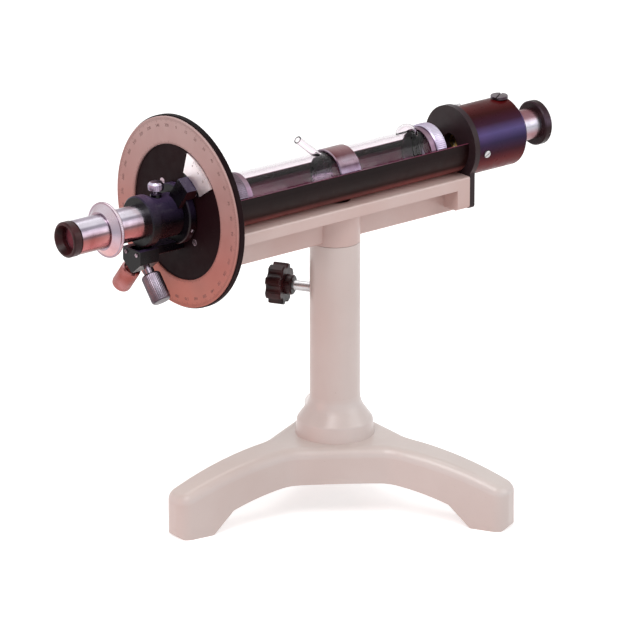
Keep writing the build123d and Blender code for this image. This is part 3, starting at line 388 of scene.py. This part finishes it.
def silvered_scale(name, low, high, stops, turned):
    """Matt silvering with a fine turned grain, and a painted warm reflection that grows towards the bottom.
    """
    look = Nodes(name)
    cloud = look.ramp(look.noise(40, 4), 0.35, 0.7, (1, 1, 1), (0.9, 0.86, 0.85))
    colour = look.height(low, high, stops)
    colour = look.mix(look.spread(look.noise(12, 3), 0.4, 1.0), colour, cloud, "MULTIPLY")
    look.link(colour, look.shader.inputs["Base Color"])
    look.link(look.spread(look.noise(120, 4), 0.42, 0.55), look.shader.inputs["Roughness"])
    look.bump(look.noise(700, 2, turned), 0.00004, 0.3)
    look.set(Metallic=0.15, Specular_IOR_Level=0.3)
    return look.material


def clear_glass(name, tint, rough=0.02, bend=1.47, clear=1.0):
    """Blown glass, with slow waves in its wall."""
    look = Nodes(name)
    colour = look.ramp(look.noise(25, 2), 0.3, 0.7, tint, tuple(0.96 * v for v in tint))
    look.link(colour, look.shader.inputs["Base Color"])
    look.set(Transmission_Weight=clear, IOR=bend, Specular_IOR_Level=0.3)
    look.link(look.spread(look.noise(90, 3), rough, rough + 0.03), look.shader.inputs["Roughness"])
    look.bump(look.noise(30, 2), 0.0006, 0.25)
    return look.material


def moulded(name, base, light, rough=0.28):
    """Moulded plastic with fine scuffs."""
    look = Nodes(name)
    colour = look.ramp(look.noise(70, 5), 0.4, 0.75, base, light)
    colour = look.mix(look.worn_edge(0.55, 0.7), colour, tuple(2.2 * v + 0.01 for v in light))
    look.link(colour, look.shader.inputs["Base Color"])
    look.link(look.spread(look.noise(220, 5), rough, rough + 0.16), look.shader.inputs["Roughness"])
    look.bump(look.noise(500, 3), 0.0001, 0.3)
    look.set(Specular_IOR_Level=0.22)
    return look.material


def ink(name):
    """Black filling in the engraved lines and numbers."""
    look = Nodes(name)
    colour = look.ramp(look.noise(900, 3), 0.3, 0.7, shade((66, 44, 44)), shade((110, 78, 76)))
    look.link(colour, look.shader.inputs["Base Color"])
    look.link(look.spread(look.noise(600, 3), 0.5, 0.7), look.shader.inputs["Roughness"])
    look.bump(look.noise(1500, 2), 0.00002, 0.3)
    return look.material


CREAM = enamel("cream enamel", shade((220, 206, 201)), shade((210, 192, 186)))
# The beam's enamel is the stand's cream painted darker and redder, as painted shade under the trough.
SHADED_BEAM_CREAM = enamel("beam enamel in painted shade", shade((216, 192, 186)), shade((202, 166, 158)))
# Plates: a painted warm red reflection on the faces that look down.
BLACK = black_enamel("black enamel", [
    (-1.0, shade((96, 56, 56))),
    (-0.75, shade((60, 28, 30))),
    (-0.2, shade((44, 34, 37))),
    (0.2, shade((44, 34, 37))),
    (1.0, shade((42, 27, 33))),
])
# Trough: a painted red reflection on the faces that look down and a painted purple reflection on those that
# look up.
TROUGH_BLACK = black_enamel("trough enamel", [
    (-1.0, shade((174, 124, 122))),
    (-0.8, shade((138, 84, 82))),
    (-0.55, shade((40, 22, 20))),
    (0.0, shade((26, 13, 14))),
    (0.2, shade((112, 66, 84))),
    (1.0, shade((100, 54, 72))),
], gloss=0.12)
# Disc: a faint painted warm reflection on the faces that look down.
DISC_BLACK = black_enamel("matt black lacquer", [
    (-1.0, shade((40, 22, 26))),
    (1.0, shade((18, 12, 14))),
], 0.5, 0.06)
# Hub: a painted lilac highlight on the faces that look up and a painted red reflection on those that look
# down.
HUB_BLACK = black_enamel("hub lacquer", [
    (-1.0, shade((60, 30, 32))),
    (0.0, shade((16, 13, 18))),
    (0.8, shade((46, 38, 60))),
    (1.0, shade((66, 54, 80))),
], 0.3, 0.2)
# Housing: painted bands of reflection, dark red below and on top with a violet band between.
HOUSING_BLACK = black_enamel("housing lacquer", [
    (-1.0, shade((108, 26, 30))),
    (-0.5, shade((98, 22, 26))),
    (-0.2, shade((58, 24, 38))),
    (0.1, shade((54, 44, 72))),
    (0.38, shade((84, 74, 122))),
    (0.62, shade((54, 30, 48))),
    (0.85, shade((50, 12, 14))),
    (1.0, shade((72, 16, 18))),
], 0.32, 0.07)
# End ring: a painted lilac highlight band on the faces that look a little up.
RING_BLACK = black_enamel("ring lacquer", [
    (-1.0, shade((44, 24, 26))),
    (0.0, shade((44, 29, 33))),
    (0.25, shade((78, 66, 80))),
    (0.5, shade((62, 44, 54))),
    (1.0, shade((40, 20, 22))),
], 0.3, 0.12)
# Tone tables for plated metal: reflections, highlights and shade painted by how far each face looks up or
# down. Chrome: a white highlight band near the top, grey and dark bands, and a painted red reflection
# below.
CHROME_TONES = [
    (-1.0, (0.11, 0.02, 0.02)),
    (-0.75, (0.26, 0.06, 0.05)),
    (-0.5, (0.64, 0.18, 0.17)),
    (-0.2, (0.50, 0.15, 0.13)),
    (0.02, (0.42, 0.14, 0.12)),
    (0.2, (0.26, 0.15, 0.16)),
    (0.42, (0.50, 0.41, 0.46)),
    (0.58, (0.36, 0.31, 0.36)),
    (0.68, (0.46, 0.42, 0.48)),
    (0.76, (1.0, 0.96, 1.0)),
    (0.93, (1.0, 0.96, 1.0)),
    (1.0, (0.48, 0.40, 0.46)),
]
# Focus ring: a painted highlight near the top and a painted warm reflection below.
BELL_TONES = [
    (-1.0, (0.34, 0.16, 0.16)),
    (-0.6, (0.86, 0.50, 0.48)),
    (-0.2, (0.60, 0.40, 0.42)),
    (0.1, (0.44, 0.38, 0.44)),
    (0.5, (0.70, 0.60, 0.64)),
    (0.8, (1.0, 0.94, 0.96)),
    (1.0, (0.62, 0.50, 0.54)),
]
# A painted lilac reflection, with a painted highlight band near the top.
LILAC_TONES = [
    (-1.0, (0.36, 0.22, 0.24)),
    (0.0, (0.42, 0.34, 0.44)),
    (0.5, (0.58, 0.50, 0.64)),
    (0.8, (0.95, 0.92, 1.0)),
    (1.0, (0.60, 0.50, 0.62)),
]
# Collar: dark, with two painted highlight bands and a painted red reflection on top.
COLLAR_TONES = [
    (-1.0, (0.06, 0.03, 0.04)),
    (0.0, (0.08, 0.05, 0.07)),
    (0.25, (0.34, 0.28, 0.38)),
    (0.5, (0.07, 0.04, 0.06)),
    (0.70, (0.62, 0.52, 0.58)),
    (0.84, (0.20, 0.08, 0.09)),
    (1.0, (0.30, 0.13, 0.13)),
]
# Dark plate: painted dark reflections with two painted highlight bands.
GUN_TONES = [
    (-1.0, (0.06, 0.03, 0.04)),
    (0.0, (0.06, 0.04, 0.05)),
    (0.3, (0.22, 0.18, 0.24)),
    (0.6, (0.08, 0.05, 0.07)),
    (0.8, (0.34, 0.30, 0.34)),
    (1.0, (0.10, 0.06, 0.07)),
]
# Lamp end: a painted bright band at the middle, with painted red reflections above and below.
LAMP_TONES = [
    (-1.0, (0.34, 0.14, 0.14)),
    (-0.3, (0.40, 0.21, 0.21)),
    (0.1, (0.52, 0.51, 0.55)),
    (0.45, (0.54, 0.52, 0.56)),
    (0.7, (0.38, 0.20, 0.22)),
    (1.0, (0.32, 0.12, 0.13)),
]
# A painted warm red reflection, lightest on the faces that look up.
WARM_TONES = [
    (-1.0, (0.42, 0.12, 0.10)),
    (0.0, (0.46, 0.16, 0.14)),
    (0.6, (0.62, 0.26, 0.24)),
    (1.0, (0.85, 0.60, 0.60)),
]
# Painted shade: dark all round, with a lighter band near the top.
GREY_TONES = [
    (-1.0, (0.07, 0.045, 0.055)),
    (-0.4, (0.09, 0.065, 0.08)),
    (0.1, (0.11, 0.085, 0.10)),
    (0.35, (0.17, 0.145, 0.17)),
    (0.6, (0.38, 0.34, 0.39)),
    (1.0, (0.28, 0.22, 0.26)),
]
PLATE = shade((226, 224, 232))
# Each plate below is the same bright plate, with its own painted reflections and shade from its tone table.
CHROME = bright_metal("bright plate", PLATE, shade((200, 196, 204)), stops=CHROME_TONES)
BELL_PLATE = bright_metal("bell plate", PLATE, shade((210, 200, 204)), 0.2, stops=BELL_TONES)
LILAC = bright_metal("satin plate with painted reflections", PLATE, shade((196, 190, 202)), 0.22, stops=LILAC_TONES)
COLLAR_PLATE = bright_metal("collar plate", PLATE, shade((190, 170, 176)), 0.2, stops=COLLAR_TONES)
PLATE_WITH_DARK_REFLECTIONS = bright_metal("plate with painted dark reflections", PLATE, shade((190, 170, 176)), 0.2, stops=GUN_TONES)
PLATE_WITH_WARM_REFLECTION = bright_metal("plate with painted warm reflection", PLATE, shade((200, 180, 176)), 0.2, stops=WARM_TONES)
PLATE_IN_PAINTED_SHADE = bright_metal("plate in painted shade", PLATE, shade((190, 180, 186)), 0.2, stops=GREY_TONES)
# The scale ring: a painted warm reflection, growing towards the bottom.
SATIN = silvered_scale("silvered scale", AXIS_Z - SCALE_OUTER, AXIS_Z + SCALE_OUTER, [
    (0.0, shade((180, 108, 94))),
    (0.3, shade((184, 120, 112))),
    (0.6, shade((178, 138, 134))),
    (1.0, shade((184, 160, 158))),
], TURNED_GRAIN)
VERNIER_SILVER = bright_metal(
    "silvered vernier", shade((250, 246, 248)), shade((228, 220, 220)), 0.38, TURNED_GRAIN, grain=700)
SCREW_PLATE = bright_metal("screw plate", shade((176, 158, 168)), shade((120, 100, 108)), 0.3)
STEEL = bright_metal("turned steel", shade((190, 188, 190)), shade((156, 152, 152)), 0.3)
BRASS = bright_metal("turned brass", shade((205, 170, 105)), shade((168, 132, 72)), 0.28)
# Silvered brass with painted lilac reflections and a painted highlight band.
SILVERED = bright_metal(
    "silvered brass", shade((160, 140, 150)), shade((138, 116, 120)), 0.3, stops=LILAC_TONES)
# The lamp end's plate: painted reflection bands from its tone table.
LAMP_PLATE = bright_metal("lamp end plate", PLATE, shade((204, 198, 206)), 0.24, stops=LAMP_TONES)
GLASS = clear_glass("blown glass", (0.96, 0.91, 0.94), bend=1.22)
OPTICAL = clear_glass("optical glass", (0.94, 0.95, 0.98), 0.01)
# The eye lens is tinted dark red and only partly clear, as painted shade and warm reflection inside the
# eyepiece.
EYE_GLASS = clear_glass("eye lens glass", (0.42, 0.13, 0.18), 0.06, clear=0.45)
PLASTIC = moulded("black plastic", shade((24, 10, 11)), shade((66, 30, 32)))
EYECUP_PLASTIC = moulded("eyecup plastic", shade((40, 14, 16)), shade((72, 34, 38)))
RUBBER = moulded("black rubber", shade((26, 25, 26)), shade((44, 42, 42)), 0.6)
INK = ink("black ink")

NODE_LOOKS = {
    "tripod_base": CREAM,
    "pillar": CREAM,
    "beam": SHADED_BEAM_CREAM,
    "trough": TROUGH_BLACK,
    "front_plate": BLACK,
    "end_plate": BLACK,
    "disc_plate": DISC_BLACK,
    "scale_ring": SATIN,
    "vernier_plate": VERNIER_SILVER,
    "polariser_housing": HOUSING_BLACK,
    "end_ring": RING_BLACK,
    "analyser_hub": HUB_BLACK,
    "fine_motion_arm": HUB_BLACK,
    "vernier_arm": HUB_BLACK,
    "clamp_knob": PLASTIC,
    "eyecup": EYECUP_PLASTIC,
    "tube_glass": GLASS,
    "cover_glass_front": GLASS,
    "cover_glass_rear": GLASS,
    "seal_washer_front": RUBBER,
    "seal_washer_rear": RUBBER,
    "objective_lens": OPTICAL,
    "eye_lens": EYE_GLASS,
    "field_lens": OPTICAL,
    "condenser_lens": OPTICAL,
    "analyser_prism": OPTICAL,
    "polariser_prism": OPTICAL,
    "half_wave_plate": OPTICAL,
    "guide_bush": BRASS,
    "clamp_pad": BRASS,
    "bearing_sleeve": BRASS,
    "sleeve_nut": BRASS,
    "analyser_cell": BRASS,
    "polariser_cell": BRASS,
    "half_shade_cell": BRASS,
    "polariser_tube": LAMP_PLATE,
    "focus_ring": BELL_PLATE,
    "tube_ferrules": SILVERED,
    # The two caps are alike; each has its own painted reflections.
    "tube_cap_front": PLATE_WITH_DARK_REFLECTIONS,
    "tube_cap_rear": LILAC,
    "tube_collar": COLLAR_PLATE,
    # The two fine screws are alike; one has painted shade and the other a painted warm reflection.
    "fine_screw_near": PLATE_IN_PAINTED_SHADE,
    "fine_screw_far": PLATE_WITH_WARM_REFLECTION,
    "hub_thumb_screw": LILAC,
}
SLOT_LOOKS = {"steel": STEEL, "chrome": CHROME}


def dress_nodes():
    """Every CAD node gets its material, by its name or by its slot in the record."""
    slots = {part["node"]: part["material_slot"] for part in frame["record"]["subparts"]}
    for name, node in frame["nodes"].items():
        look = NODE_LOOKS.get(name) or SLOT_LOOKS[slots[name]]
        node.data.materials.clear()
        node.data.materials.append(look)
        for face in node.data.polygons:
            face.material_index = 0


# Mesh helpers


def finish_mesh(name, mesh, body, look, smooth=30):
    """Turns a bmesh into a piece that rides on a body."""
    bmesh.ops.remove_doubles(mesh, verts=mesh.verts, dist=MERGE_DISTANCE)
    bmesh.ops.recalc_face_normals(mesh, faces=mesh.faces)
    data = bpy.data.meshes.new(name)
    mesh.to_mesh(data)
    mesh.free()
    data.materials.append(look)
    piece = bpy.data.objects.new(name, data)
    bpy.context.scene.collection.objects.link(piece)
    for face in data.polygons:
        face.use_smooth = True
    data.set_sharp_from_angle(angle=radians(smooth))
    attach(piece, body)
    return piece


def outward(angle):
    """The direction away from the optical axis, at an angle from +Z towards -Y."""
    return Vector((0, -sin(angle), cos(angle)))


def on_axis(x, radius=0, angle=0):
    """A point at a distance from the optical axis, at an angle from +Z towards -Y."""
    return Vector((x, AXIS_Y, AXIS_Z)) + outward(angle) * radius


def aimed(point, direction):
    """A placement whose local Z runs along a direction."""
    return Matrix.Translation(point) @ direction.to_track_quat("Z", "Y").to_matrix().to_4x4()


def bridge(mesh, below, above):
    """Faces between two closed rings of as many points."""
    for step in range(len(below)):
        after = (step + 1) % len(below)
        mesh.faces.new((below[step], below[after], above[after], above[step]))


def lathe(mesh, place, profile, count, ripple=None):
    """Turns (radius, height) points about the placement's Z. ripple(angle, row) adds to a radius."""
    rows = []
    for row, (radius, height) in enumerate(profile):
        ring = []
        for step in range(count):
            angle = 2 * pi * step / count
            r = radius + (ripple(angle, row) if ripple else 0)
            ring.append(mesh.verts.new(place @ Vector((r * cos(angle), r * sin(angle), height))))
        rows.append(ring)
    for row, below in enumerate(rows):
        bridge(mesh, below, rows[(row + 1) % len(rows)])


def slotted_head(mesh, place, radius, base, top, turn, foot=None, round_off=HEAD_BEVEL):
    """A screw head on the placement's Z whose slot is left between two half discs."""
    foot = foot or radius
    floor = top - SLOT_DEPTH
    bevel = SLOT_DEPTH * round_off
    place = place @ Matrix.Rotation(turn, 4, "Z")
    shank = foot * SHANK_SHARE if foot < radius else foot
    profile = [(POINT_RADIUS, base), (shank, base), (foot, floor), (POINT_RADIUS, floor)]
    lathe(mesh, place, profile, HEAD_SIDES)
    levels = [(foot / radius, floor), (1.0, top - bevel), (1 - bevel / radius, top)]
    for side in (-1, 1):
        rings = []
        for grow, height in levels:
            ring = []
            for step in range(HALF_HEAD_STEPS + 1):
                angle = HALF_HEAD_GAP + (pi - 2 * HALF_HEAD_GAP) * step / HALF_HEAD_STEPS
                x = radius * grow * cos(angle)
                y = max(SLOT_WIDTH / 2, radius * grow * sin(angle))
                ring.append(mesh.verts.new(place @ Vector((x, side * y, height))))
            rings.append(ring)
        for below, above in zip(rings, rings[1:]):
            bridge(mesh, below, above)
        mesh.faces.new(rings[0])
        mesh.faces.new(rings[-1])


def radial_bar(mesh, x, angle, inner, outer):
    """A thin raised line on a plane across the axis, at an angle from +Z towards -Y."""
    out = outward(angle)
    side = Vector((0, cos(angle), sin(angle))) * (LINE_WIDTH / 2)
    centre = Vector((x, AXIS_Y, AXIS_Z))
    corners = [centre + out * r + side * s for r, s in ((inner, -1), (inner, 1), (outer, 1), (outer, -1))]
    back = [mesh.verts.new(corner) for corner in corners]
    front = [mesh.verts.new(corner - Vector((LINE_DEPTH, 0, 0))) for corner in corners]
    mesh.faces.new(front)
    mesh.faces.new(back)
    bridge(mesh, back, front)


def add_number(mesh, text, x, angle, radius, size):
    """A number on a plane across the axis, its top outward, seen from the eyepiece end."""
    curve = bpy.data.curves.new("number", "FONT")
    curve.body = text
    curve.size = size
    curve.align_x = "CENTER"
    curve.align_y = "CENTER"
    curve.resolution_u = 2
    curve.extrude = LINE_DEPTH / 2
    holder = bpy.data.objects.new("number", curve)
    bpy.context.scene.collection.objects.link(holder)
    bpy.context.view_layer.update()
    evaluated = holder.evaluated_get(bpy.context.evaluated_depsgraph_get())
    data = bpy.data.meshes.new_from_object(evaluated)
    out = outward(angle)
    turn = Matrix((out.cross(TO_EYE), out, TO_EYE)).transposed().to_4x4()
    centre = on_axis(x - LINE_DEPTH / 2, radius, angle)
    data.transform(Matrix.Translation(centre) @ turn)
    mesh.from_mesh(data)
    bpy.data.objects.remove(holder)
    bpy.data.meshes.remove(data)
    bpy.data.curves.remove(curve)


# The scale and the vernier


def line_length(index, lengths):
    """The length of a line at its place in the count: at a ten, at a five or between."""
    ten, five, one = lengths
    if index % 10 == 0:
        return ten
    return five if index % 5 == 0 else one


def scale_marks():
    """Degree lines at both edges of the ring, with a number every ten degrees."""
    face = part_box("scale_ring")[0].x
    outer = SCALE_OUTER - SCALE_MARGIN
    lines = bmesh.new()
    for degree in range(360):
        angle = radians(degree)
        length = line_length(degree, SCALE_LINES)
        radial_bar(lines, face, angle, outer - length, outer)
        radial_bar(lines, face, angle, SCALE_INNER + INNER_MARGIN, SCALE_INNER + INNER_LINE_SHARE * length)
    finish_mesh("scale_lines", lines, "bench", INK)
    numbers = bmesh.new()
    for degree in range(0, 360, NUMBER_STEP):
        add_number(numbers, str(degree), face, radians(degree), SCALE_OUTER - NUMBER_DROP, NUMBER_SIZE)
    finish_mesh("scale_numbers", numbers, "bench", INK)


def vernier_marks():
    """The vernier's divisions at its outer edge, numbered at the ends and the middle."""
    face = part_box("vernier_plate")[0].x
    outer = SCALE_INNER - VERNIER_MARGIN
    lines = bmesh.new()
    numbers = bmesh.new()
    for index in range(VERNIER_DIVISIONS + 1):
        angle = radians(VERNIER_ANGLE + (index - VERNIER_DIVISIONS / 2) * VERNIER_STEP)
        radial_bar(lines, face, angle, outer - line_length(index, VERNIER_LINES), outer)
        if index % NUMBER_STEP == 0:
            add_number(numbers, str(index), face, angle, outer - VERNIER_NUMBER_DROP, VERNIER_NUMBER_SIZE)
    finish_mesh("vernier_lines", lines, "analyser", INK)
    finish_mesh("vernier_numbers", numbers, "analyser", INK)


# Knurling


def knurled(name, body, place, radius, span, pitch, look):
    """A band of straight ribs round the placement's Z, just proud of a node's round face."""
    start, end = span
    outside = radius + KNURL_LIFT
    root = radius - KNURL_ROOT
    ribs = round(2 * pi * radius / pitch)

    def ripple(angle, row):
        return KNURL_PROUD * (0.5 + 0.5 * cos(ribs * angle)) if row in (1, 2) else 0

    profile = [
        (outside, start),
        (outside, start + KNURL_EDGE),
        (outside, end - KNURL_EDGE),
        (outside, end),
        (root, end),
        (root, start),
    ]
    mesh = bmesh.new()
    lathe(mesh, place, profile, ribs * STEPS_PER_RIB, ripple)
    finish_mesh(name, mesh, body, look, KNURL_SMOOTH)


def knurl_focus_ring():
    place = aimed(on_axis(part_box("focus_ring")[1].x), TO_EYE)
    radius = box_radius("focus_ring")
    knurled("focus_knurl", "focus_ring", place, radius, FOCUS_KNURL, FOCUS_PITCH, BELL_PLATE)


def knurl_fine_screws():
    cross = on_axis(middle("fine_screw_near").x)
    cross.z -= SCREW_CROSS_DROP
    angle = radians(FINE_SCREW_ANGLE)
    for name, body, side, look in (
        ("near_knurl", "near_screw", -1, PLATE_IN_PAINTED_SHADE),
        ("far_knurl", "far_screw", 1, PLATE_WITH_WARM_REFLECTION),
    ):
        place = aimed(cross, Vector((0, side * sin(angle), -cos(angle))))
        knurled(name, body, place, FINE_KNOB_RADIUS, FINE_KNURL, FINE_PITCH, look)


def knurl_thumb_screw():
    place = top_centre("hub_thumb_screw")
    radius = box_radius("hub_thumb_screw")
    knurled("thumb_knurl", "thumb_screw", place, radius, THUMB_KNURL, THUMB_PITCH, LILAC)


def knurl_caps():
    for name, node, body, look in (
        ("front_cap_knurl", "tube_cap_front", "front_cap", PLATE_WITH_DARK_REFLECTIONS),
        ("rear_cap_knurl", "tube_cap_rear", "rear_cap", LILAC),
    ):
        low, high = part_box(node)
        place = aimed(on_axis(high.x), TO_EYE)
        span = (CAP_KNURL_MARGIN, high.x - low.x - CAP_KNURL_MARGIN)
        knurled(name, body, place, box_radius(node), span, CAP_PITCH, look)


# Screw heads


def sunk_heads(name, node, places, look):
    """Slotted heads flush with the faces that they are sunk in."""
    mesh = bmesh.new()
    for index, (point, direction) in enumerate(places):
        turn = SUNK_SLOT_TURN + SUNK_SLOT_STEP * index
        place = aimed(point, direction)
        slotted_head(mesh, place, SUNK_HEAD, -HEAD_ROOT, SUNK_PROUD, turn, SUNK_FOOT, SUNK_BEVEL)
    piece = finish_mesh(name, mesh, "bench", look, HEAD_SMOOTH)
    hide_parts(node)


def disc_screw_heads():
    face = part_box("disc_plate")[0].x
    places = []
    for index in range(DISC_SCREWS):
        angle = radians(DISC_SCREW_ANGLE + 360 / DISC_SCREWS * index)
        places.append((on_axis(face, DISC_SCREW_CIRCLE, angle), TO_EYE))
    sunk_heads("disc_screw_heads", "disc_screws", places, SCREW_PLATE)


def plate_screw_heads():
    places = []
    ends = [(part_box("front_plate")[0].x, TO_EYE), (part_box("plate_screws")[1].x, TO_LAMP)]
    for face, direction in ends:
        for side in (-1, 1):
            point = on_axis(face) + Vector((0, side * PLATE_SCREW_SPREAD, -PLATE_SCREW_DROP))
            places.append((point, direction))
    sunk_heads("plate_screw_heads", "plate_screws", places, STEEL)


def housing_screw_heads():
    x = middle("housing_screws").x
    radius = box_radius("polariser_housing")
    mesh = bmesh.new()
    for index in range(HOUSING_SCREWS):
        angle = radians(HOUSING_SCREW_ANGLE + 360 / HOUSING_SCREWS * index)
        place = aimed(on_axis(x, radius, angle), outward(angle))
        slotted_head(mesh, place, HOUSING_HEAD, -HEAD_ROOT, HOUSING_HEAD_HEIGHT, HOUSING_SLOT_TURN + index)
    piece = finish_mesh("housing_screw_heads", mesh, "bench", STEEL, HEAD_SMOOTH)
    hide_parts("housing_screws")


def small_screws():
    """Screws in the face of the fine motion's block and round its arm's ring."""
    low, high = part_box("fine_motion_arm")
    places = []
    for side in (-1, 1):
        point = on_axis(low.x) + Vector((0, side * BLOCK_SCREW_SPREAD, BLOCK_SCREW_RISE - SCREW_CROSS_DROP))
        places.append((point, TO_EYE, BLOCK_SLOT_TURN))
    for angle in ARM_SCREW_ANGLES:
        point = on_axis(high.x - ARM_RING_LENGTH / 2, ARM_RING_RADIUS, angle)
        places.append((point, outward(angle), ARM_SLOT_TURN))
    mesh = bmesh.new()
    for point, direction, turn in places:
        slotted_head(mesh, aimed(point, direction), DETAIL_HEAD, -DETAIL_ROOT, DETAIL_HEAD_HEIGHT, turn)
    finish_mesh("arm_screws", mesh, "fine_arm", SCREW_PLATE, HEAD_SMOOTH)


def lock_screw_head():
    place = top_centre("polariser_lock_screw")
    radius = box_radius("polariser_lock_screw")
    mesh = bmesh.new()
    slotted_head(mesh, place, radius, -LOCK_HEAD_HEIGHT, 0, LOCK_SLOT_TURN)
    piece = finish_mesh("lock_screw_head", mesh, "polariser_lock", PLATE_WITH_DARK_REFLECTIONS, HEAD_SMOOTH)
    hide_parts("polariser_lock_screw")


# Camera, light and surroundings


def direction_to(azimuth, elevation):
    """The direction at an azimuth from -Y towards +X and an elevation, both in degrees."""
    a = radians(azimuth)
    e = radians(elevation)
    return Vector((sin(a) * cos(e), -cos(a) * cos(e), sin(e)))


def place_camera():
    """The camera looks at the point that the photograph's middle shows."""
    back = direction_to(CAMERA_AZIMUTH, CAMERA_ELEVATION)
    right = Vector((0, 0, 1)).cross(back).normalized()
    up = back.cross(right)
    foot = Vector((PILLAR.x, PILLAR.y, 0))
    half = IMAGE_SIZE / 2
    aim = foot + right * ((half - PILLAR_FOOT_PIXEL[0]) / PIXELS_PER_MM * MM)
    aim += up * ((PILLAR_FOOT_PIXEL[1] - half) / PIXELS_PER_MM * MM)
    data = bpy.data.cameras.new("camera")
    data.sensor_width = SENSOR_WIDTH
    data.lens = PIXELS_PER_MM / MM * CAMERA_DISTANCE * SENSOR_WIDTH / IMAGE_SIZE
    data.clip_end = CAMERA_REACH
    camera = bpy.data.objects.new("camera", data)
    turn = Matrix((right, up, back)).transposed().to_4x4()
    camera.matrix_world = Matrix.Translation(aim + back * CAMERA_DISTANCE) @ turn
    bpy.context.scene.collection.objects.link(camera)
    bpy.context.scene.camera = camera


def area_lamp(name, azimuth, elevation, distance, size, power, colour):
    """A square soft lamp that faces the instrument."""
    towards = direction_to(azimuth, elevation)
    target = Vector((PILLAR.x, PILLAR.y, LAMP_AIM_HEIGHT))
    data = bpy.data.lights.new(name, "AREA")
    data.shape = "SQUARE"
    data.size = size
    data.energy = power
    data.color = colour
    lamp = bpy.data.objects.new(name, data)
    lamp.location = target + towards * distance
    lamp.rotation_euler = towards.to_track_quat("Z", "Y").to_euler()
    bpy.context.scene.collection.objects.link(lamp)


def seen_directly(tree):
    """1 for the rays of the camera, of glass and of gloss, which all see a white surrounding."""
    path = tree.nodes.new("ShaderNodeLightPath")
    result = path.outputs["Is Camera Ray"]
    for kind in ("Is Transmission Ray", "Is Glossy Ray"):
        either = tree.nodes.new("ShaderNodeMath")
        either.operation = "MAXIMUM"
        tree.links.new(result, either.inputs[0])
        tree.links.new(path.outputs[kind], either.inputs[1])
        result = either.outputs[0]
    return result


def make_world():
    """A pale room that lights the instrument, and a white one that is seen behind it."""
    world = bpy.data.worlds.new("studio")
    bpy.context.scene.world = world
    world.use_nodes = True
    tree = world.node_tree
    tree.nodes.clear()
    mix = tree.nodes.new("ShaderNodeMixShader")
    tree.links.new(seen_directly(tree), mix.inputs[0])
    for socket, colour, level in ((mix.inputs[1], ROOM_COLOUR, ROOM_LEVEL), (mix.inputs[2], WHITE, 1.0)):
        background = tree.nodes.new("ShaderNodeBackground")
        background.inputs["Color"].default_value = (*colour, 1)
        background.inputs["Strength"].default_value = level
        tree.links.new(background.outputs[0], socket)
    output = tree.nodes.new("ShaderNodeOutputWorld")
    tree.links.new(mix.outputs[0], output.inputs["Surface"])


def make_floor():
    """A pale floor that keeps the object's shadow and is white where it is lit."""
    material = bpy.data.materials.new("floor")
    material.use_nodes = True
    tree = material.node_tree
    shader = tree.nodes["Principled BSDF"]
    shader.inputs["Base Color"].default_value = (*FLOOR_COLOUR, 1)
    shader.inputs["Roughness"].default_value = FLOOR_ROUGHNESS
    shader.inputs["Emission Color"].default_value = (*WHITE, 1)
    lift = tree.nodes.new("ShaderNodeMath")
    lift.operation = "MULTIPLY"
    lift.inputs[1].default_value = FLOOR_LIFT
    tree.links.new(seen_directly(tree), lift.inputs[0])
    tree.links.new(lift.outputs[0], shader.inputs["Emission Strength"])
    mesh = bmesh.new()
    half = FLOOR_SIZE / 2
    corners = [(-half, -half), (half, -half), (half, half), (-half, half)]
    mesh.faces.new([mesh.verts.new((x, y, 0)) for x, y in corners])
    data = bpy.data.meshes.new("floor")
    mesh.to_mesh(data)
    mesh.free()
    data.materials.append(material)
    floor = bpy.data.objects.new("floor", data)
    bpy.context.scene.collection.objects.link(floor)


dress_nodes()
scale_marks()
vernier_marks()
knurl_focus_ring()
knurl_fine_screws()
knurl_thumb_screw()
knurl_caps()
disc_screw_heads()
plate_screw_heads()
housing_screw_heads()
lock_screw_head()
small_screws()
make_floor()
make_world()
for lamp in LAMPS:
    area_lamp(*lamp)
place_camera()
bpy.context.scene.view_settings.view_transform = "Standard"
